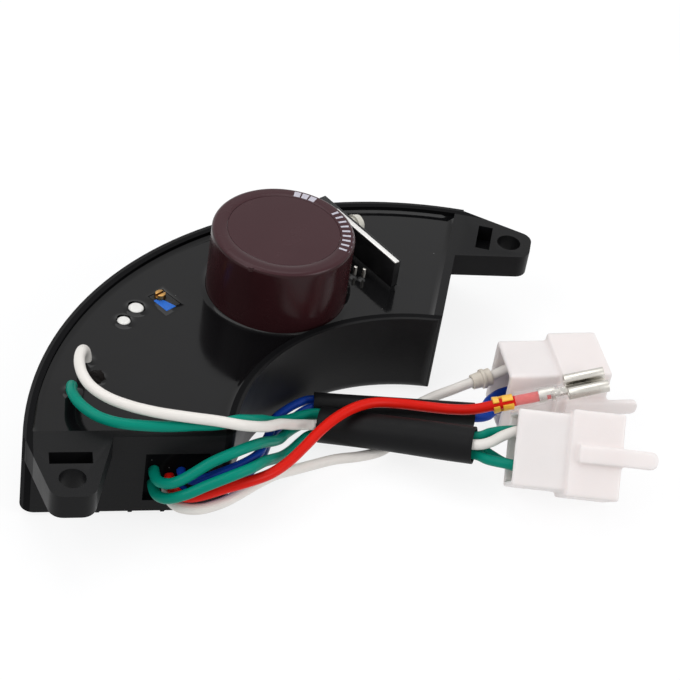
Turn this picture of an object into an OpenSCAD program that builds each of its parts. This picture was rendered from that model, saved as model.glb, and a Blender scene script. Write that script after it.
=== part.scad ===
// Automatic voltage regulator of a portable generator: a crescent tray filled with black potting,
// with a large capacitor, a heat plate, a turning trimmer screw and a short wire harness.
// Millimetres. The origin lies midway between the two mounting holes, on the seat under the ears.
// X runs along the line of holes, Y towards the outer arc, Z up towards the open side of the tray.

/* [Mounting ears] */
// Distance between the two mounting holes
hole_pitch = 147; // [146:0.5:148]
// Diameter of each mounting hole
hole_d = 6.2; // [5:0.1:7]
// Thickness of the ears
ear_t = 6.5; // [5:0.1:8]
// Rounding of the ear tips
ear_tip_r = 3.5; // [2.5:0.1:4]
// Width of an ear across its tip
ear_tip_w = 11; // [9:0.1:13]
// Width of an ear at its root
ear_root_w = 20; // [18:0.1:22]
// Reach of an ear past the centre of its hole
ear_reach = 5.8; // [5:0.1:7]
// Length of the blind pocket behind each hole
pocket_l = 9.8; // [8:0.1:11]
// Width of the blind pocket
pocket_w = 3.7; // [3:0.1:4.4]
// Depth of the blind pocket
pocket_depth = 4.5; // [3:0.1:5]
// Distance from the hole to the middle of the pocket
pocket_set = 6.6; // [6:0.1:7]

/* [Tray] */
// Radius of the outer arc
outer_r = 96; // [95:0.1:97]
// Width of the crescent from its inner to its outer arc
band_w = 48.5; // [47:0.1:50]
// Distance from the line of holes to the top of the outer arc
crest = 52; // [51:0.1:53]
// Height of the rim above the surface that the tray rests on
tray_h = 24.5; // [22:0.1:26]
// Thickness of the side walls
wall = 2.2; // [1.6:0.1:2.6]
// Thickness of the bottom
bottom_t = 2; // [1.6:0.1:2.4]
// Angle of the end walls from the line of holes
end_angle = 36; // [35:0.5:37]
// Distance of the end walls from the arcs' centre lines
end_set = 5.6; // [5:0.1:6]
// Rounding of the tray's bottom edge along both arcs
bottom_r = 3.5; // [2:0.1:4]
// Rounding of the upright corners at the inner arc
corner_r = 3; // [2:0.1:3.4]
// Height of the narrow ribs under the bottom
rib_h = 0.8; // [0.5:0.1:1]
// Distance between neighbouring ribs
rib_pitch = 7.6; // [7:0.1:8]
// Width of the wire window in the left end wall
window_w = 15; // [14.6:0.1:15.6]
// Height of the wire window
window_h = 14.8; // [14:0.1:15.4]
// Distance of the window below the rim
window_drop = 5.5; // [5:0.1:6]
// Distance from the inner arc to the middle of the window
window_in = 12.5; // [12.1:0.1:12.9]

/* [Potting and board] */
// Depth of the potting surface below the rim
potting_drop = 1.5; // [1:0.1:2]
// Depth of the potting inside the window, from the outer face
potting_recess = 1.4; // [0.8:0.1:1.8]
// Gap between the potting and each piece in it
bond_gap = 0.1; // [0.05:0.01:0.15]
// Height of the board's upper face below the potting surface
board_depth = 12; // [11:0.1:12.6]
// Thickness of the circuit board
board_t = 1.6; // [1:0.1:2]
// Distance of the board from the tray walls
board_margin = 4; // [3:0.1:6]
// Distance of the board's left end from the end wall
board_end_gap = 12; // [11:0.1:16]

/* [Capacitor] */
// Diameter of the sleeved capacitor
cap_d = 35.5; // [34:0.1:36.5]
// Height of the capacitor above the board
cap_h = 30.6; // [28:0.1:34]
// Thickness of the shrink sleeve
sleeve_film = 0.35; // [0.2:0.05:0.5]
// Diameter of the opening that the sleeve leaves on the top
cap_top_open_d = 28; // [24:0.1:30]
// Thickness of the insulating disc on the top
cap_disc_t = 0.3; // [0.2:0.05:0.4]
// Rounding of the can's top edge
cap_edge_r = 1.2; // [1:0.1:2]
// Gap between the capacitor and the inner wall
cap_wall_gap = 0.9; // [0.5:0.1:1.3]
// Turn of the capacitor about the arcs' centre, from the Y direction
cap_turn = 9.4; // [9:0.1:9.8]
// Distance between the capacitor's two pins
cap_pin_pitch = 10; // [9:0.1:11]
// Width of a capacitor pin
cap_pin_w = 1.6; // [1.2:0.1:2]
// Length of a capacitor pin below its can
cap_pin_l = 5; // [4:0.1:6]

/* [Heat plate] */
// Length of the plate
plate_l = 31; // [28:0.1:32]
// Thickness of the plate
plate_t = 2; // [1.5:0.1:2.4]
// Height of the plate's top above the potting
plate_rise = 8.3; // [7:0.1:10]
// Distance of the plate's middle past the capacitor along X
plate_gap = 9; // [8.8:0.1:10]
// Distance of the plate's middle from the capacitor's along Y
plate_shift = -1.8; // [-2.4:0.1:-1.4]
// Turn of the plate from the Y direction
plate_turn = -6; // [-7:0.5:-4]
// Width of each power device
device_w = 10; // [9:0.1:10.6]
// Thickness of each power device
device_t = 4.5; // [4:0.1:4.8]
// Height of each power device's body
device_h = 13.5; // [12:0.1:15]
// Drop of the devices' tops below the plate's top
device_drop = 1.2; // [0.8:0.1:2]
// Place of the transistor along the plate from its middle
transistor_at = 7; // [6.4:0.1:8]
// Place of the rectifier along the plate from its middle
rectifier_at = -5.5; // [-6:0.1:-5]
// Drop of the rectifier's top below the plate's top
rectifier_drop = 5.4; // [5:0.1:6]
// Drop of the screw below the plate's top
screw_drop = 5.2; // [5:0.1:5.6]
// Diameter of the plate screw's shank
screw_d = 3; // [2.5:0.1:3.2]
// Diameter of the plate screw's head
screw_head_d = 5.6; // [5:0.1:6]
// Height of the plate screw's head
screw_head_h = 2; // [1.6:0.1:2.4]
// Length of the insulating shoulder under the head
shoulder_l = 3.4; // [3:0.1:3.8]
// Diameter of the insulating shoulder
shoulder_d = 4.4; // [4:0.1:4.8]
// Width across the flats of the plate nut
nut_af = 5.5; // [5:0.1:6]
// Thickness of the plate nut
nut_t = 2.2; // [1.8:0.1:2.6]
// Clearance between the screw's shank and its holes
screw_gap = 0.2; // [0.1:0.05:0.3]
// Width of a device lead
lead_w = 0.9; // [0.7:0.05:1]
// Distance between neighbouring device leads
lead_pitch = 2.54; // [2.4:0.02:2.6]

/* [Trimmer] */
// Distance of the trimmer screw in from the outer arc
trim_in = 13; // [12.6:0.1:13.4]
// Turn of the trimmer screw about the arcs' centre, from the Y direction
trim_turn = -10.4; // [-10.7:0.1:-10.1]
// Width of the trimmer body
trim_w = 4.6; // [4.4:0.1:5]
// Length of the trimmer body
trim_l = 6.8; // [6.4:0.1:7.2]
// Height of the trimmer body
trim_h = 9.4; // [9:0.1:9.8]
// Rise of the body's top above the potting
trim_rise = 0.4; // [0.2:0.1:0.6]
// Diameter of the turning screw
trim_screw_d = 2.6; // [2.2:0.1:2.8]
// Rise of the screw above the body
trim_screw_rise = 1.2; // [0.8:0.1:1.6]
// Depth of the screw in the body
trim_screw_depth = 3; // [2:0.1:4]
// Radial clearance of the turning screw
trim_gap = 0.06; // [0.03:0.01:0.1]
// Width of the screwdriver slot
trim_slot_w = 0.6; // [0.4:0.05:0.8]
// Depth of the screwdriver slot
trim_slot_depth = 0.8; // [0.5:0.05:1]

/* [Small parts in the potting] */
// Diameter of the larger white post
post_d = 4; // [3.6:0.1:4.4]
// Diameter of the smaller white post
small_post_d = 3.4; // [3:0.1:3.6]
// Rise of the posts above the potting
post_rise = 0.5; // [0.3:0.1:0.8]
// Diameter of the thermistor bead
bead_d = 3; // [2.6:0.1:3.4]
// Diameter of the two trimmed leads beside the plate
stub_d = 1; // [0.8:0.1:1.2]
// Rise of the trimmed leads above the potting
stub_rise = 3; // [2:0.1:4]

/* [Harness] */
// Outside diameter of the white, green and red wires
wire_d = 2.6; // [2.4:0.05:2.7]
// Outside diameter of the blue wires
blue_d = 2.2; // [2:0.05:2.3]
// Outside diameter of the wide black sleeve
main_sleeve_d = 9.2; // [8.8:0.1:9.4]
// Outside diameter of the narrow black sleeve
blue_sleeve_d = 6; // [5.9:0.1:6.1]
// Wall of both black sleeves
sleeve_wall = 0.4; // [0.3:0.05:0.5]
// Clearance round a wire where it enters a piece
wire_gap = 0.1; // [0.05:0.01:0.2]

/* [Connectors] */
// Long side of a connector's hood
hood_w = 18.6; // [18:0.1:19]
// Short side of a connector's hood
hood_h = 14; // [13.6:0.1:14.4]
// Length of a connector's hood
hood_l = 13; // [12:0.1:14]
// Length of a connector's wider front
front_l = 13; // [12:0.1:14]
// Step of the wider front past the hood on each side
front_step = 1.2; // [0.8:0.1:1.3]
// Wall of the hood
hood_wall = 1.3; // [1:0.1:1.6]
// Width of the locking tongue
tongue_w = 4.4; // [4:0.1:5]
// Thickness of the locking tongue
tongue_t = 1.6; // [1.2:0.1:2]
// Reach of the tongue past the connector's front
tongue_reach = 8.4; // [7:0.1:9]
// Distance of the terminals from the connector's middle along its long side
slot_w_set = 4.3; // [4.1:0.1:4.5]
// Distance of the terminals from the connector's middle along its short side
slot_h_set = 3.4; // [3.3:0.1:3.6]
// Width of a terminal
term_w = 6.3; // [6:0.1:6.4]
// Height of a terminal
term_h = 2.6; // [2.4:0.1:2.8]
// Thickness of the terminal sheet
term_t = 0.4; // [0.3:0.05:0.5]
// Clearance of a terminal in its chamber
term_gap = 0.25; // [0.2:0.05:0.4]
// Length of the crimped barrel of a terminal
barrel_l = 4.4; // [4:0.1:4.6]
// Width of the neck between a terminal and its barrel
neck_w = 3; // [2.6:0.1:3.4]

/* [Red wire's end] */
// Length of the yellow clip
clip_l = 5; // [4.6:0.1:5.4]
// Wall of the yellow clip
clip_wall = 0.7; // [0.5:0.05:0.75]
// Length of the clear cover
cover_l = 12.5; // [12:0.1:13]
// Outside diameter of the clear cover
cover_d = 4.6; // [4.5:0.1:4.8]
// Length of the open spade terminal past its cover
spade_l = 10; // [9:0.1:11]
// Diameter of each rolled edge of the spade
roll_d = 3; // [2.6:0.1:3.2]
// Distance between the two rolled edges
roll_pitch = 4.8; // [4.4:0.1:5.2]
// Thickness of the spade's sheet
spade_t = 0.8; // [0.6:0.05:1]
// Length of the band that grips the wire's insulation
band_l = 1.9; // [1.5:0.1:2.4]
// Length of insulated wire between the band and the crimp
band_gap = 1.4; // [1:0.1:1.8]
// Diameter of the crimp on the bare wire
crimp_d = 2.2; // [1.8:0.1:2.4]

/* [Hidden] */
$fn = 64;
rim_z = ear_t;
inner_r = outer_r - band_w;
arc_drop = outer_r - crest;
window_at = inner_r + window_in;
rest_z = ear_t - tray_h;
base_z = rest_z + rib_h;
potting_z = rim_z - potting_drop;
board_z = potting_z - board_depth;
cap_r = cap_d / 2;
can_r = cap_r - sleeve_film;
cap_ring = inner_r + wall + cap_wall_gap + cap_r;
cap_x = cap_ring * sin(cap_turn);
cap_y = cap_ring * cos(cap_turn) - arc_drop;
plate_x = cap_x + cap_r + plate_gap;
plate_y = cap_y + plate_shift;
cap_top_z = board_z + cap_h;
plate_top_z = potting_z + plate_rise;
device_top_z = plate_top_z - device_drop;
device_low_z = device_top_z - device_h;
rectifier_top_z = plate_top_z - rectifier_drop;
screw_z = plate_top_z - screw_drop;
trim_top_z = potting_z + trim_rise;
trim_low_z = trim_top_z - trim_h;
trim_screw_r = trim_screw_d / 2;
trim_x = in_from_arc(trim_in, trim_turn).x;
trim_y = in_from_arc(trim_in, trim_turn).y;
// The trimmer stands with its screw near one end of its top.
trim_mid_y = trim_y - trim_l / 2 + trim_w / 2 - 0.6;
window_top_z = rim_z - window_drop;
window_low_z = window_top_z - window_h;
wide = 2 * outer_r;
eps = 0.01;

// Local place of each mounting hole seen along the right-hand end wall.
hole_along = hole_pitch / 2 * cos(end_angle) + arc_drop * sin(end_angle);
hole_out = hole_pitch / 2 * sin(end_angle) - arc_drop * cos(end_angle);
ear_tip_out = hole_out + ear_reach;

// Place at a distance in from the outer arc, turned about the arcs' centre from the Y direction.
function in_from_arc(far, turn) = [(outer_r - far) * sin(turn), (outer_r - far) * cos(turn) - arc_drop];

// Places of the small parts on the board.
post_at = in_from_arc(11, -15.3);
small_post_at = in_from_arc(11.2, -19.3);
bead_at = in_from_arc(13.6, -34.4);
stub_places = [for (step = [[-6.6, -6.2], [-5.4, -8.2]]) [plate_x, plate_y] + step];
white_a_at = [-44.6, 30.2];
green_a_at = [-54.4, 23.8];
bridge_at = in_from_arc(30.7, -27.3);
bridge_size = [15, 15, 7];
resistor_at = in_from_arc(14, 45);
resistor_d = 4.5;
resistor_l = 15;
resistor_lead_d = 0.9;
resistor_bend_r = 1.6;
resistor_rise = 4;
filter_at = in_from_arc(9.6, 33);
filter_d = 8;
filter_h = 10.5;
pin_d = 0.7;
pin_l = 3;

// Routes of the wires from the tray to their far ends.
white_a_route = [[-44.6, 30.2, -6.8], [-44.6, 30.2, -1], [-44.6, 30.2, 5.3], [-45.8, 29.6, 9],
    [-48.6, 27.6, 11.8], [-52, 24.4, 13], [-54.6, 20.2, 13.2], [-55.6, 15.6, 13], [-54.6, 10.6, 12.6],
    [-51.8, 5.4, 12.2], [-48, 0.6, 11.8], [-43.5, -4.3, 11.6], [-38.5, -8.5, 10.8], [-33.6, -12.4, 9.6],
    [-25.9, -12.2, 4.8], [-18.2, -9.8, -0.4], [-11.4, -8.1, -5.6], [-6.4, -7.3, -9], [-3, -7.2, -11],
    [-0.5, -8.9, -11.1], [0.9, -11.4, -10.4], [4.8, -17.7, -9.2], [9, -24.6, -7.9], [13.6, -32, -6.5], [18.6, -40.1, -5],
    [20.9, -43, -3.4], [23.2, -45, -0.9], [26.2, -47.2, 0.6], [29.8, -50.8, 0.8], [33.6, -54.8, 0.8]];
green_a_route = [[-54.4, 23.8, -6.8], [-54.4, 23.8, -1], [-54.4, 23.8, 5.3], [-55.4, 22.6, 8.2],
    [-57.8, 19.4, 9.4], [-58.9, 15, 9.6], [-58.2, 10, 9.4], [-55.6, 5.6, 9.2], [-51.4, 1.6, 9],
    [-46.6, -1.8, 8.6], [-41.6, -4.8, 8.4], [-37, -7.6, 8.2], [-32.6, -9.2, 8.3], [-27.4, -9.4, 5.6],
    [-21.6, -7.2, 0.8], [-15, -5.6, -4.6], [-8.6, -4, -8.6], [-3.2, -3.5, -10.6], [1.3, -5.4, -11],
    [6.1, -14.1, -9.6], [11.1, -22.3, -8], [16.1, -30.4, -6.5], [21.1, -38.5, -5], [25, -40.2, -4.6],
    [29, -42.9, -4.1], [32.9, -47, -4], [37.1, -51.4, -4]];
green_b_route = [[-44.5, 5.6, -5.2], [-47, 2.2, -5.2], [-49.5, -1.2, -5.2], [-50.5, -3.9, -4.9],
    [-49.9, -6.7, -3.8], [-47.6, -9, -1.8], [-42, -11.4, 1.8], [-36.8, -13.4, 3.6], [-31.4, -13.6, 2.8],
    [-26, -12.4, 0], [-20.6, -10.4, -4.2], [-14.8, -7.6, -8.8], [-8.8, -4.6, -12.2], [-3, -3.7, -13.5],
    [1.6, -5.6, -14], [6.5, -14.5, -12.5], [11.4, -22.7, -10.9], [16.4, -30.8, -9.4], [21.4, -38.9, -7.9],
    [23, -42.4, -9], [24.6, -46, -10], [26.8, -49.5, -10.1], [29.6, -52.4, -10.1], [32.7, -55.6, -10.1]];
green_c_route = [[-44.5, 5.6, -9.4], [-47, 2.2, -9.4], [-49.5, -1.2, -9.4], [-50.8, -4.2, -9],
    [-50.6, -7.6, -7.5], [-48.4, -11, -4.8], [-44.4, -13.8, -2], [-39.6, -16.4, 0.2], [-34.2, -17.2, 0.2],
    [-29, -15.8, -2], [-24, -14, -5.4], [-18.4, -12, -9.2], [-12.6, -9.8, -12.2], [-7.4, -8, -13.7],
    [-3.6, -7.3, -14.2], [-1, -8.7, -14.2], [0.7, -11.7, -13.4], [4.6, -17.7, -12.4], [8.9, -24.3, -11.1], [13.9, -32.4, -9.5],
    [18.9, -40.5, -8], [19.4, -44.6, -7], [20.4, -48.4, -5.8], [22.6, -52.2, -5.3], [25.8, -55.4, -5.3],
    [29.3, -59, -5.3]];
red_route = [[-41.4, 3.4, -7.6], [-43.9, 0, -7.6], [-46.4, -3.4, -7.6], [-47.5, -6.2, -7.9],
    [-46.8, -9, -8], [-44.6, -11.6, -7], [-39.6, -14.8, -5], [-34.6, -17, -4.2],
    [-28.6, -18.2, -4.2], [-22.2, -17.8, -4.2], [-15.6, -16.4, -4.1], [-9, -14.8, -4], [-2.4, -13.8, -4],
    [4, -13.8, -4.2], [10, -15, -5], [15.6, -18.2, -6], [20.4, -22.6, -6.4], [24.2, -27.4, -5.8],
    [27.2, -31.6, -4.4], [30.8, -35, -2.6], [34.8, -37.8, -1.3], [38.7, -40.6, -0.1], [42.2, -43, 1]];
blue_1_route = [[-37.4, 4.5, -5.6], [-40.5, 0.3, -5.6], [-43.7, -4.1, -5.6], [-44.5, -6.4, -5.3],
    [-44, -8.8, -4.7], [-42.2, -10.6, -3.6], [-36.6, -13.4, -1.4], [-31.2, -13.4, -2], [-25.8, -11.4, -4.2],
    [-20.2, -7.6, -7.2], [-14.6, -4, -9.4], [-8.8, 0.2, -11.4], [-3, 1.7, -12.4], [1.6, 1.9, -12.8],
    [5.4, 0.7, -12.9], [10.9, -5.1, -12.5], [16.6, -10.9, -12.1], [22.2, -16.6, -11.8], [27.9, -22.4, -11.4],
    [33.5, -28.1, -11], [36.6, -28.6, -11.1], [40, -27.4, -11.4], [44.4, -27, -11.6], [49, -28.4, -11.7],
    [53.8, -31.6, -11.7]];
blue_2_route = [[-37.4, 4.5, -9.6], [-40.5, 0.3, -9.6], [-43.7, -4.1, -9.6], [-44.5, -6.4, -9.5],
    [-44, -8.8, -9.2], [-42.2, -10.6, -8.4], [-36.6, -13.2, -6.6], [-31.2, -13.2, -6.6], [-25.8, -11.2, -8],
    [-20.4, -8, -10], [-14.8, -4.2, -12.2], [-8.8, -1.2, -13.6], [-2.2, -0.4, -13.9], [3.5, -1.2, -13.1],
    [9.1, -6.9, -12.7], [14.8, -12.7, -12.3], [20.4, -18.4, -11.8], [26.1, -24.2, -11.4], [31.7, -29.9, -11],
    [35, -31.4, -11.1], [38.2, -30.9, -11.4], [42.2, -31.7, -11.6], [46, -34.5, -11.7], [50, -37.2, -11.7]];
white_b_route = [[-41.6, 3.5, -11.6], [-44.1, 0.1, -11.6], [-46.6, -3.3, -11.6], [-47.8, -6.2, -11.5],
    [-47.4, -9.4, -11.1], [-44.6, -12.6, -10.5], [-39.6, -14.6, -9.8], [-34, -15, -9.6], [-28, -14.6, -10.2],
    [-21.6, -13.8, -12], [-15, -13.6, -14.4], [-8.6, -14, -16.1], [-2.4, -15.6, -16.6], [3.4, -18.6, -16.6],
    [9, -20.4, -16.6], [14.6, -19.6, -16.6], [19.4, -16.4, -16.6], [24.6, -14.8, -15.6], [29.6, -16.8, -12.8],
    [33.8, -20.2, -9.6], [38, -22.4, -7.8], [42.6, -24.4, -6.8], [46.8, -26.8, -4.4], [50.4, -29.3, -3.1],
    [53.8, -31.6, -3.1]];
main_sleeve_line = [[0, -7, -12.6], [20, -39.5, -6.5]];
blue_sleeve_line = [[4.4, -0.3, -13], [32.6, -29, -11]];

// Places and turns of the connectors and of the red wire's end.
front_x = 16.6;
front_y = -54.6;
front_yaw = -46;
front_tilt = 45;
// The tilted connector stands on the lower back edge of its wider front.
front_z = rest_z + (hood_h + front_step) * sin(front_tilt) + front_step * cos(front_tilt) + 0.1;
rear_place = [38, -33.5, rest_z + front_step + 0.1];
rear_yaw = -34;
red_end_line = [[30.8, -35, -2.6], [55, -52, 5]];
boot_line = [[38, -22.4, -7.8], [42.6, -24.4, -6.8]];
boot_d = 4.6;
// Stations along the red wire's end.
cover_at = clip_l + 0.4;
spade_neck = 1.2;
crimp_l = 2;
spade_at = cover_at + cover_l + 0.6;

// Frame of an end wall: X runs outwards along the wall, Y into the tray.
module at_end(side) {
    translate([0, -arc_drop, 0])
        mirror([side < 0 ? 1 : 0, 0, 0])
            rotate([0, 0, end_angle]) children();
}

module at_end_flat(side) {
    translate([0, -arc_drop])
        mirror([side < 0 ? 1 : 0, 0])
            rotate(end_angle) children();
}

// Plan of the crescent, moved inwards by an inset on every side.
module crescent(inset = 0, left_extra = 0) {
    intersection() {
        translate([0, -arc_drop]) difference() {
            circle(outer_r - inset, $fn = 180);
            circle(inner_r + inset, $fn = 180);
        }
        at_end_flat(1) translate([-wide, end_set + inset]) square([2 * wide, wide]);
        at_end_flat(-1) translate([-wide, end_set + inset + left_extra]) square([2 * wide, wide]);
    }
}

// Waste outside the rounded upright corner between the inner arc and an end wall.
module corner_waste() {
    ring = inner_r + corner_r;
    along = sqrt(ring * ring - pow(end_set + corner_r, 2));
    centre = [along, end_set + corner_r];
    sharp = sqrt(inner_r * inner_r - end_set * end_set);
    difference() {
        polygon([centre, centre * (inner_r - 1) / ring, [sharp - 2, end_set - 1], [along, end_set - 1]]);
        translate(centre) circle(corner_r);
    }
}

// Section of the tray's ring with both bottom edges rounded.
module ring_section(inset, low_z, edge_r) {
    far = outer_r - inset;
    near = inner_r + inset;
    difference() {
        translate([near, low_z]) square([far - near, rim_z + 1 - low_z]);
        translate([far - edge_r, low_z - eps]) difference() {
            square([edge_r + 1, edge_r + eps]);
            translate([0, edge_r + eps]) circle(edge_r);
        }
        translate([near - 1, low_z - eps]) difference() {
            square([edge_r + 1, edge_r + eps]);
            translate([edge_r + 1, edge_r + eps]) circle(edge_r);
        }
    }
}

// Solid of the crescent between a low level and the top of its section.
module crescent_block(inset, low_z, high_z, edge_r) {
    intersection() {
        translate([0, -arc_drop, 0]) rotate_extrude($fn = 180) ring_section(inset, low_z, edge_r);
        translate([0, 0, low_z - 1]) linear_extrude(high_z - low_z + 1) crescent(inset);
    }
}

module ear() {
    root = ear_root_w / 2;
    tip = ear_tip_w / 2 - ear_tip_r;
    translate([hole_along, 0, rim_z - ear_t]) linear_extrude(ear_t) hull() {
        translate([-root, end_set]) square([2 * root, 1]);
        for (s = [-1, 1]) {
            translate([s * tip, ear_tip_r - ear_tip_out]) circle(ear_tip_r, $fn = 32);
        }
    }
}

module case() {
    color("#2b2b2d") difference() {
        union() {
            difference() {
                crescent_block(0, base_z, rim_z, bottom_r);
                for (side = [-1, 1]) at_end(side) translate([0, 0, base_z - 1])
                    linear_extrude(tray_h + 2) corner_waste();
            }
            for (side = [-1, 1]) at_end(side) intersection() {
                ear();
                cylinder(h = 2 * tray_h, r = outer_r, center = true, $fn = 180);
            }
            bottom_ribs();
        }
        tray_cavity(0);
        for (side = [-1, 1]) at_end(side) {
            translate([hole_along, -hole_out, -1]) cylinder(h = ear_t + 2, d = hole_d);
            translate([hole_along - pocket_l / 2, pocket_set - hole_out - pocket_w / 2, rim_z - pocket_depth])
                cube([pocket_l, pocket_w, pocket_depth + 1]);
        }
        wire_window(-1, wall + 2);
    }
}

module bottom_ribs() {
    reach = outer_r - bottom_r - rib_h;
    flat = rib_h / 2;
    intersection() {
        translate([0, -arc_drop, 0]) for (r = [inner_r + rib_pitch : rib_pitch : reach])
            rotate_extrude($fn = 180) translate([r, base_z])
                polygon([[-rib_h, 0.3], [-rib_h, 0], [-flat, -rib_h], [flat, -rib_h], [rib_h, 0], [rib_h, 0.3]]);
        translate([0, 0, rest_z - 1]) linear_extrude(tray_h) crescent(rib_h / 2);
    }
}

// Space inside the tray, up to the rim or to the potting surface.
module tray_cavity(drop) {
    edge = max(bottom_r - bottom_t, 0.5);
    crescent_block(wall, base_z + bottom_t, rim_z - drop + (drop > 0 ? 0 : 1), edge);
}

// Window through the left end wall, from an outer to an inner depth.
module wire_window(from, to) {
    at_end(-1) translate([window_at - window_w / 2, end_set + from, window_low_z])
        cube([window_w, to - from, window_h]);
}

function unit(v) = v / norm(v);
function across(v) = unit(cross(v, abs(v.z) > 0.9 * norm(v) ? [1, 0, 0] : [0, 0, 1]));
function tangent(p, i) = unit(p[min(i + 1, len(p) - 1)] - p[max(i - 1, 0)]);
// Side direction carried from ring to ring without twist.
function carried(p, i) = i == 0 ? across(tangent(p, 0))
    : let (t = tangent(p, i), s = carried(p, i - 1)) unit(s - t * (s * t));
function ring_points(p, i, r, sides) = let (t = tangent(p, i), s = carried(p, i), n = cross(t, s))
    [for (k = [0 : sides - 1]) p[i] + r * (cos(360 * k / sides) * s + sin(360 * k / sides) * n)];

// Plain tube along a route's own points.
module tube(route, d, sides = 8) {
    last = len(route) - 1;
    points = [for (i = [0 : last]) each ring_points(route, i, d / 2, sides)];
    walls = [for (i = [0 : last - 1], k = [0 : sides - 1])
        let (a = i * sides + k, b = i * sides + (k + 1) % sides) each [[a, b, b + sides], [a, b + sides, a + sides]]];
    caps = [[for (k = [0 : sides - 1]) sides - 1 - k], [for (k = [0 : sides - 1]) last * sides + k]];
    polyhedron(points, concat(walls, caps), convexity = 6);
}

// Straight frame from one point to another, with Z along the line.
module along_line(line) {
    v = line[1] - line[0];
    translate(line[0]) rotate([0, acos(v.z / norm(v)), atan2(v.y, v.x)]) children();
}

function line_length(line) = norm(line[1] - line[0]);

// Everything that the potting flows round, each grown by the bonding gap.
module potted_pieces() {
    g = bond_gap;
    translate([0, 0, board_z - board_t - g]) linear_extrude(board_t + 2 * g) board_plan(-g);
    translate([cap_x, cap_y, board_z]) cylinder(h = cap_h, r = cap_r + g, $fn = 120);
    cap_pin_blocks(g);
    at_plate() {
        plate_block(g);
        device_block(transistor_at, -1, g);
        device_block(rectifier_at, 1, g);
        device_lead_blocks(transistor_at, -1, g);
        device_lead_blocks(rectifier_at, 1, g);
    }
    trimmer_block(g);
    trimmer_pin_rods(g);
    for (p = [[post_at, post_d], [small_post_at, small_post_d]])
        translate([p[0].x, p[0].y, board_z]) cylinder(h = board_depth + 1, d = p[1] + 2 * g);
    thermistor_shape(g);
    for (p = stub_places) translate([p.x, p.y, board_z]) cylinder(h = board_depth + 1, d = stub_d + 2 * g);
    bridge_shape(g);
    resistor_shape(g);
    filter_shape(g);
    for (p = [white_a_at, green_a_at])
        translate([p.x, p.y, board_z]) cylinder(h = board_depth + 1, d = wire_d + 2 * wire_gap);
    for (w = [[green_b_route, wire_d], [green_c_route, wire_d], [red_route, wire_d], [white_b_route, wire_d],
            [blue_1_route, blue_d], [blue_2_route, blue_d]])
        along_line([w[0][0], w[0][2]]) translate([0, 0, -wire_gap])
            cylinder(h = line_length([w[0][0], w[0][2]]) + 4, d = w[1] + 2 * wire_gap);
}

module potting() {
    color("#1b1b1d") difference() {
        union() {
            tray_cavity(potting_drop);
            intersection() {
                wire_window(potting_recess, wall + 1);
                translate([0, 0, rest_z]) cylinder(h = tray_h, r = wide);
            }
        }
        potted_pieces();
    }
}

module board_plan(grow = 0) {
    crescent(wall + board_margin + grow, board_end_gap - board_margin);
}

module circuit_board() {
    color("#2f6b3a") difference() {
        translate([0, 0, board_z - board_t]) linear_extrude(board_t) board_plan();
        cap_pin_blocks(bond_gap);
        at_plate() device_lead_blocks(transistor_at, -1, bond_gap);
        at_plate() device_lead_blocks(rectifier_at, 1, bond_gap);
        trimmer_pin_rods(bond_gap);
        resistor_shape(bond_gap);
        bridge_pins(bond_gap);
        filter_pins(bond_gap);
    }
}

module cap_profile(r, top_z) {
    difference() {
        translate([0, board_z]) square([r, top_z - board_z]);
        translate([r - cap_edge_r, top_z - cap_edge_r]) difference() {
            square(cap_edge_r + 1);
            circle(cap_edge_r);
        }
    }
}

module capacitor_can() {
    top_z = cap_top_z - sleeve_film - cap_disc_t;
    color("#c9ccd0") translate([cap_x, cap_y, 0]) rotate_extrude($fn = 120) cap_profile(can_r, top_z);
}

module capacitor_sleeve() {
    inside_z = cap_top_z - sleeve_film - cap_disc_t;
    color("#4a2226") translate([cap_x, cap_y, 0]) rotate_extrude($fn = 120) difference() {
        cap_profile(cap_r, cap_top_z);
        cap_profile(can_r, inside_z);
        translate([0, inside_z - eps]) square([cap_top_open_d / 2, cap_disc_t + sleeve_film + 2 * eps]);
        translate([0, inside_z - eps]) square([cap_top_open_d / 2 + 0.6, cap_disc_t + eps]);
    }
}

module capacitor_top_disc() {
    color("#4a353a") translate([cap_x, cap_y, cap_top_z - sleeve_film - cap_disc_t])
        cylinder(h = cap_disc_t, d = cap_top_open_d + 1, $fn = 120);
}

module cap_pin_blocks(grow) {
    for (s = [-1, 1])
        translate([cap_x + s * cap_pin_pitch / 2, cap_y, board_z - cap_pin_l / 2 + eps])
            cube([cap_pin_w + 2 * grow, pin_d + 2 * grow, cap_pin_l + 2 * grow], center = true);
}

module capacitor_pins() {
    color("#c8c8c4") intersection() {
        cap_pin_blocks(0);
        translate([cap_x, cap_y, board_z - cap_pin_l]) cylinder(h = cap_pin_l, d = cap_d);
    }
}

// Frame of the heat plate: Y along the plate, X out of its far face.
module at_plate() {
    translate([plate_x, plate_y, 0]) rotate([0, 0, plate_turn]) children();
}

module plate_block(grow) {
    low = board_z;
    translate([-plate_t / 2 - grow, -plate_l / 2 - grow, low])
        cube([plate_t + 2 * grow, plate_l + 2 * grow, plate_top_z - low + grow]);
}

module heat_plate() {
    color("#b9bcc0") at_plate() difference() {
        plate_block(0);
        translate([0, transistor_at, screw_z]) rotate([0, 90, 0])
            cylinder(h = 3 * plate_t, d = screw_d + 2 * screw_gap, center = true);
    }
}

// The transistor sits on the plate's near face, the rectifier on its far face.
module device_block(at, face, grow, top_z = device_top_z) {
    translate([face * (plate_t + device_t) / 2, at, (device_low_z + top_z) / 2])
        cube([device_t + 2 * grow, device_w + 2 * grow, top_z - device_low_z + 2 * grow], center = true);
}

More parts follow.
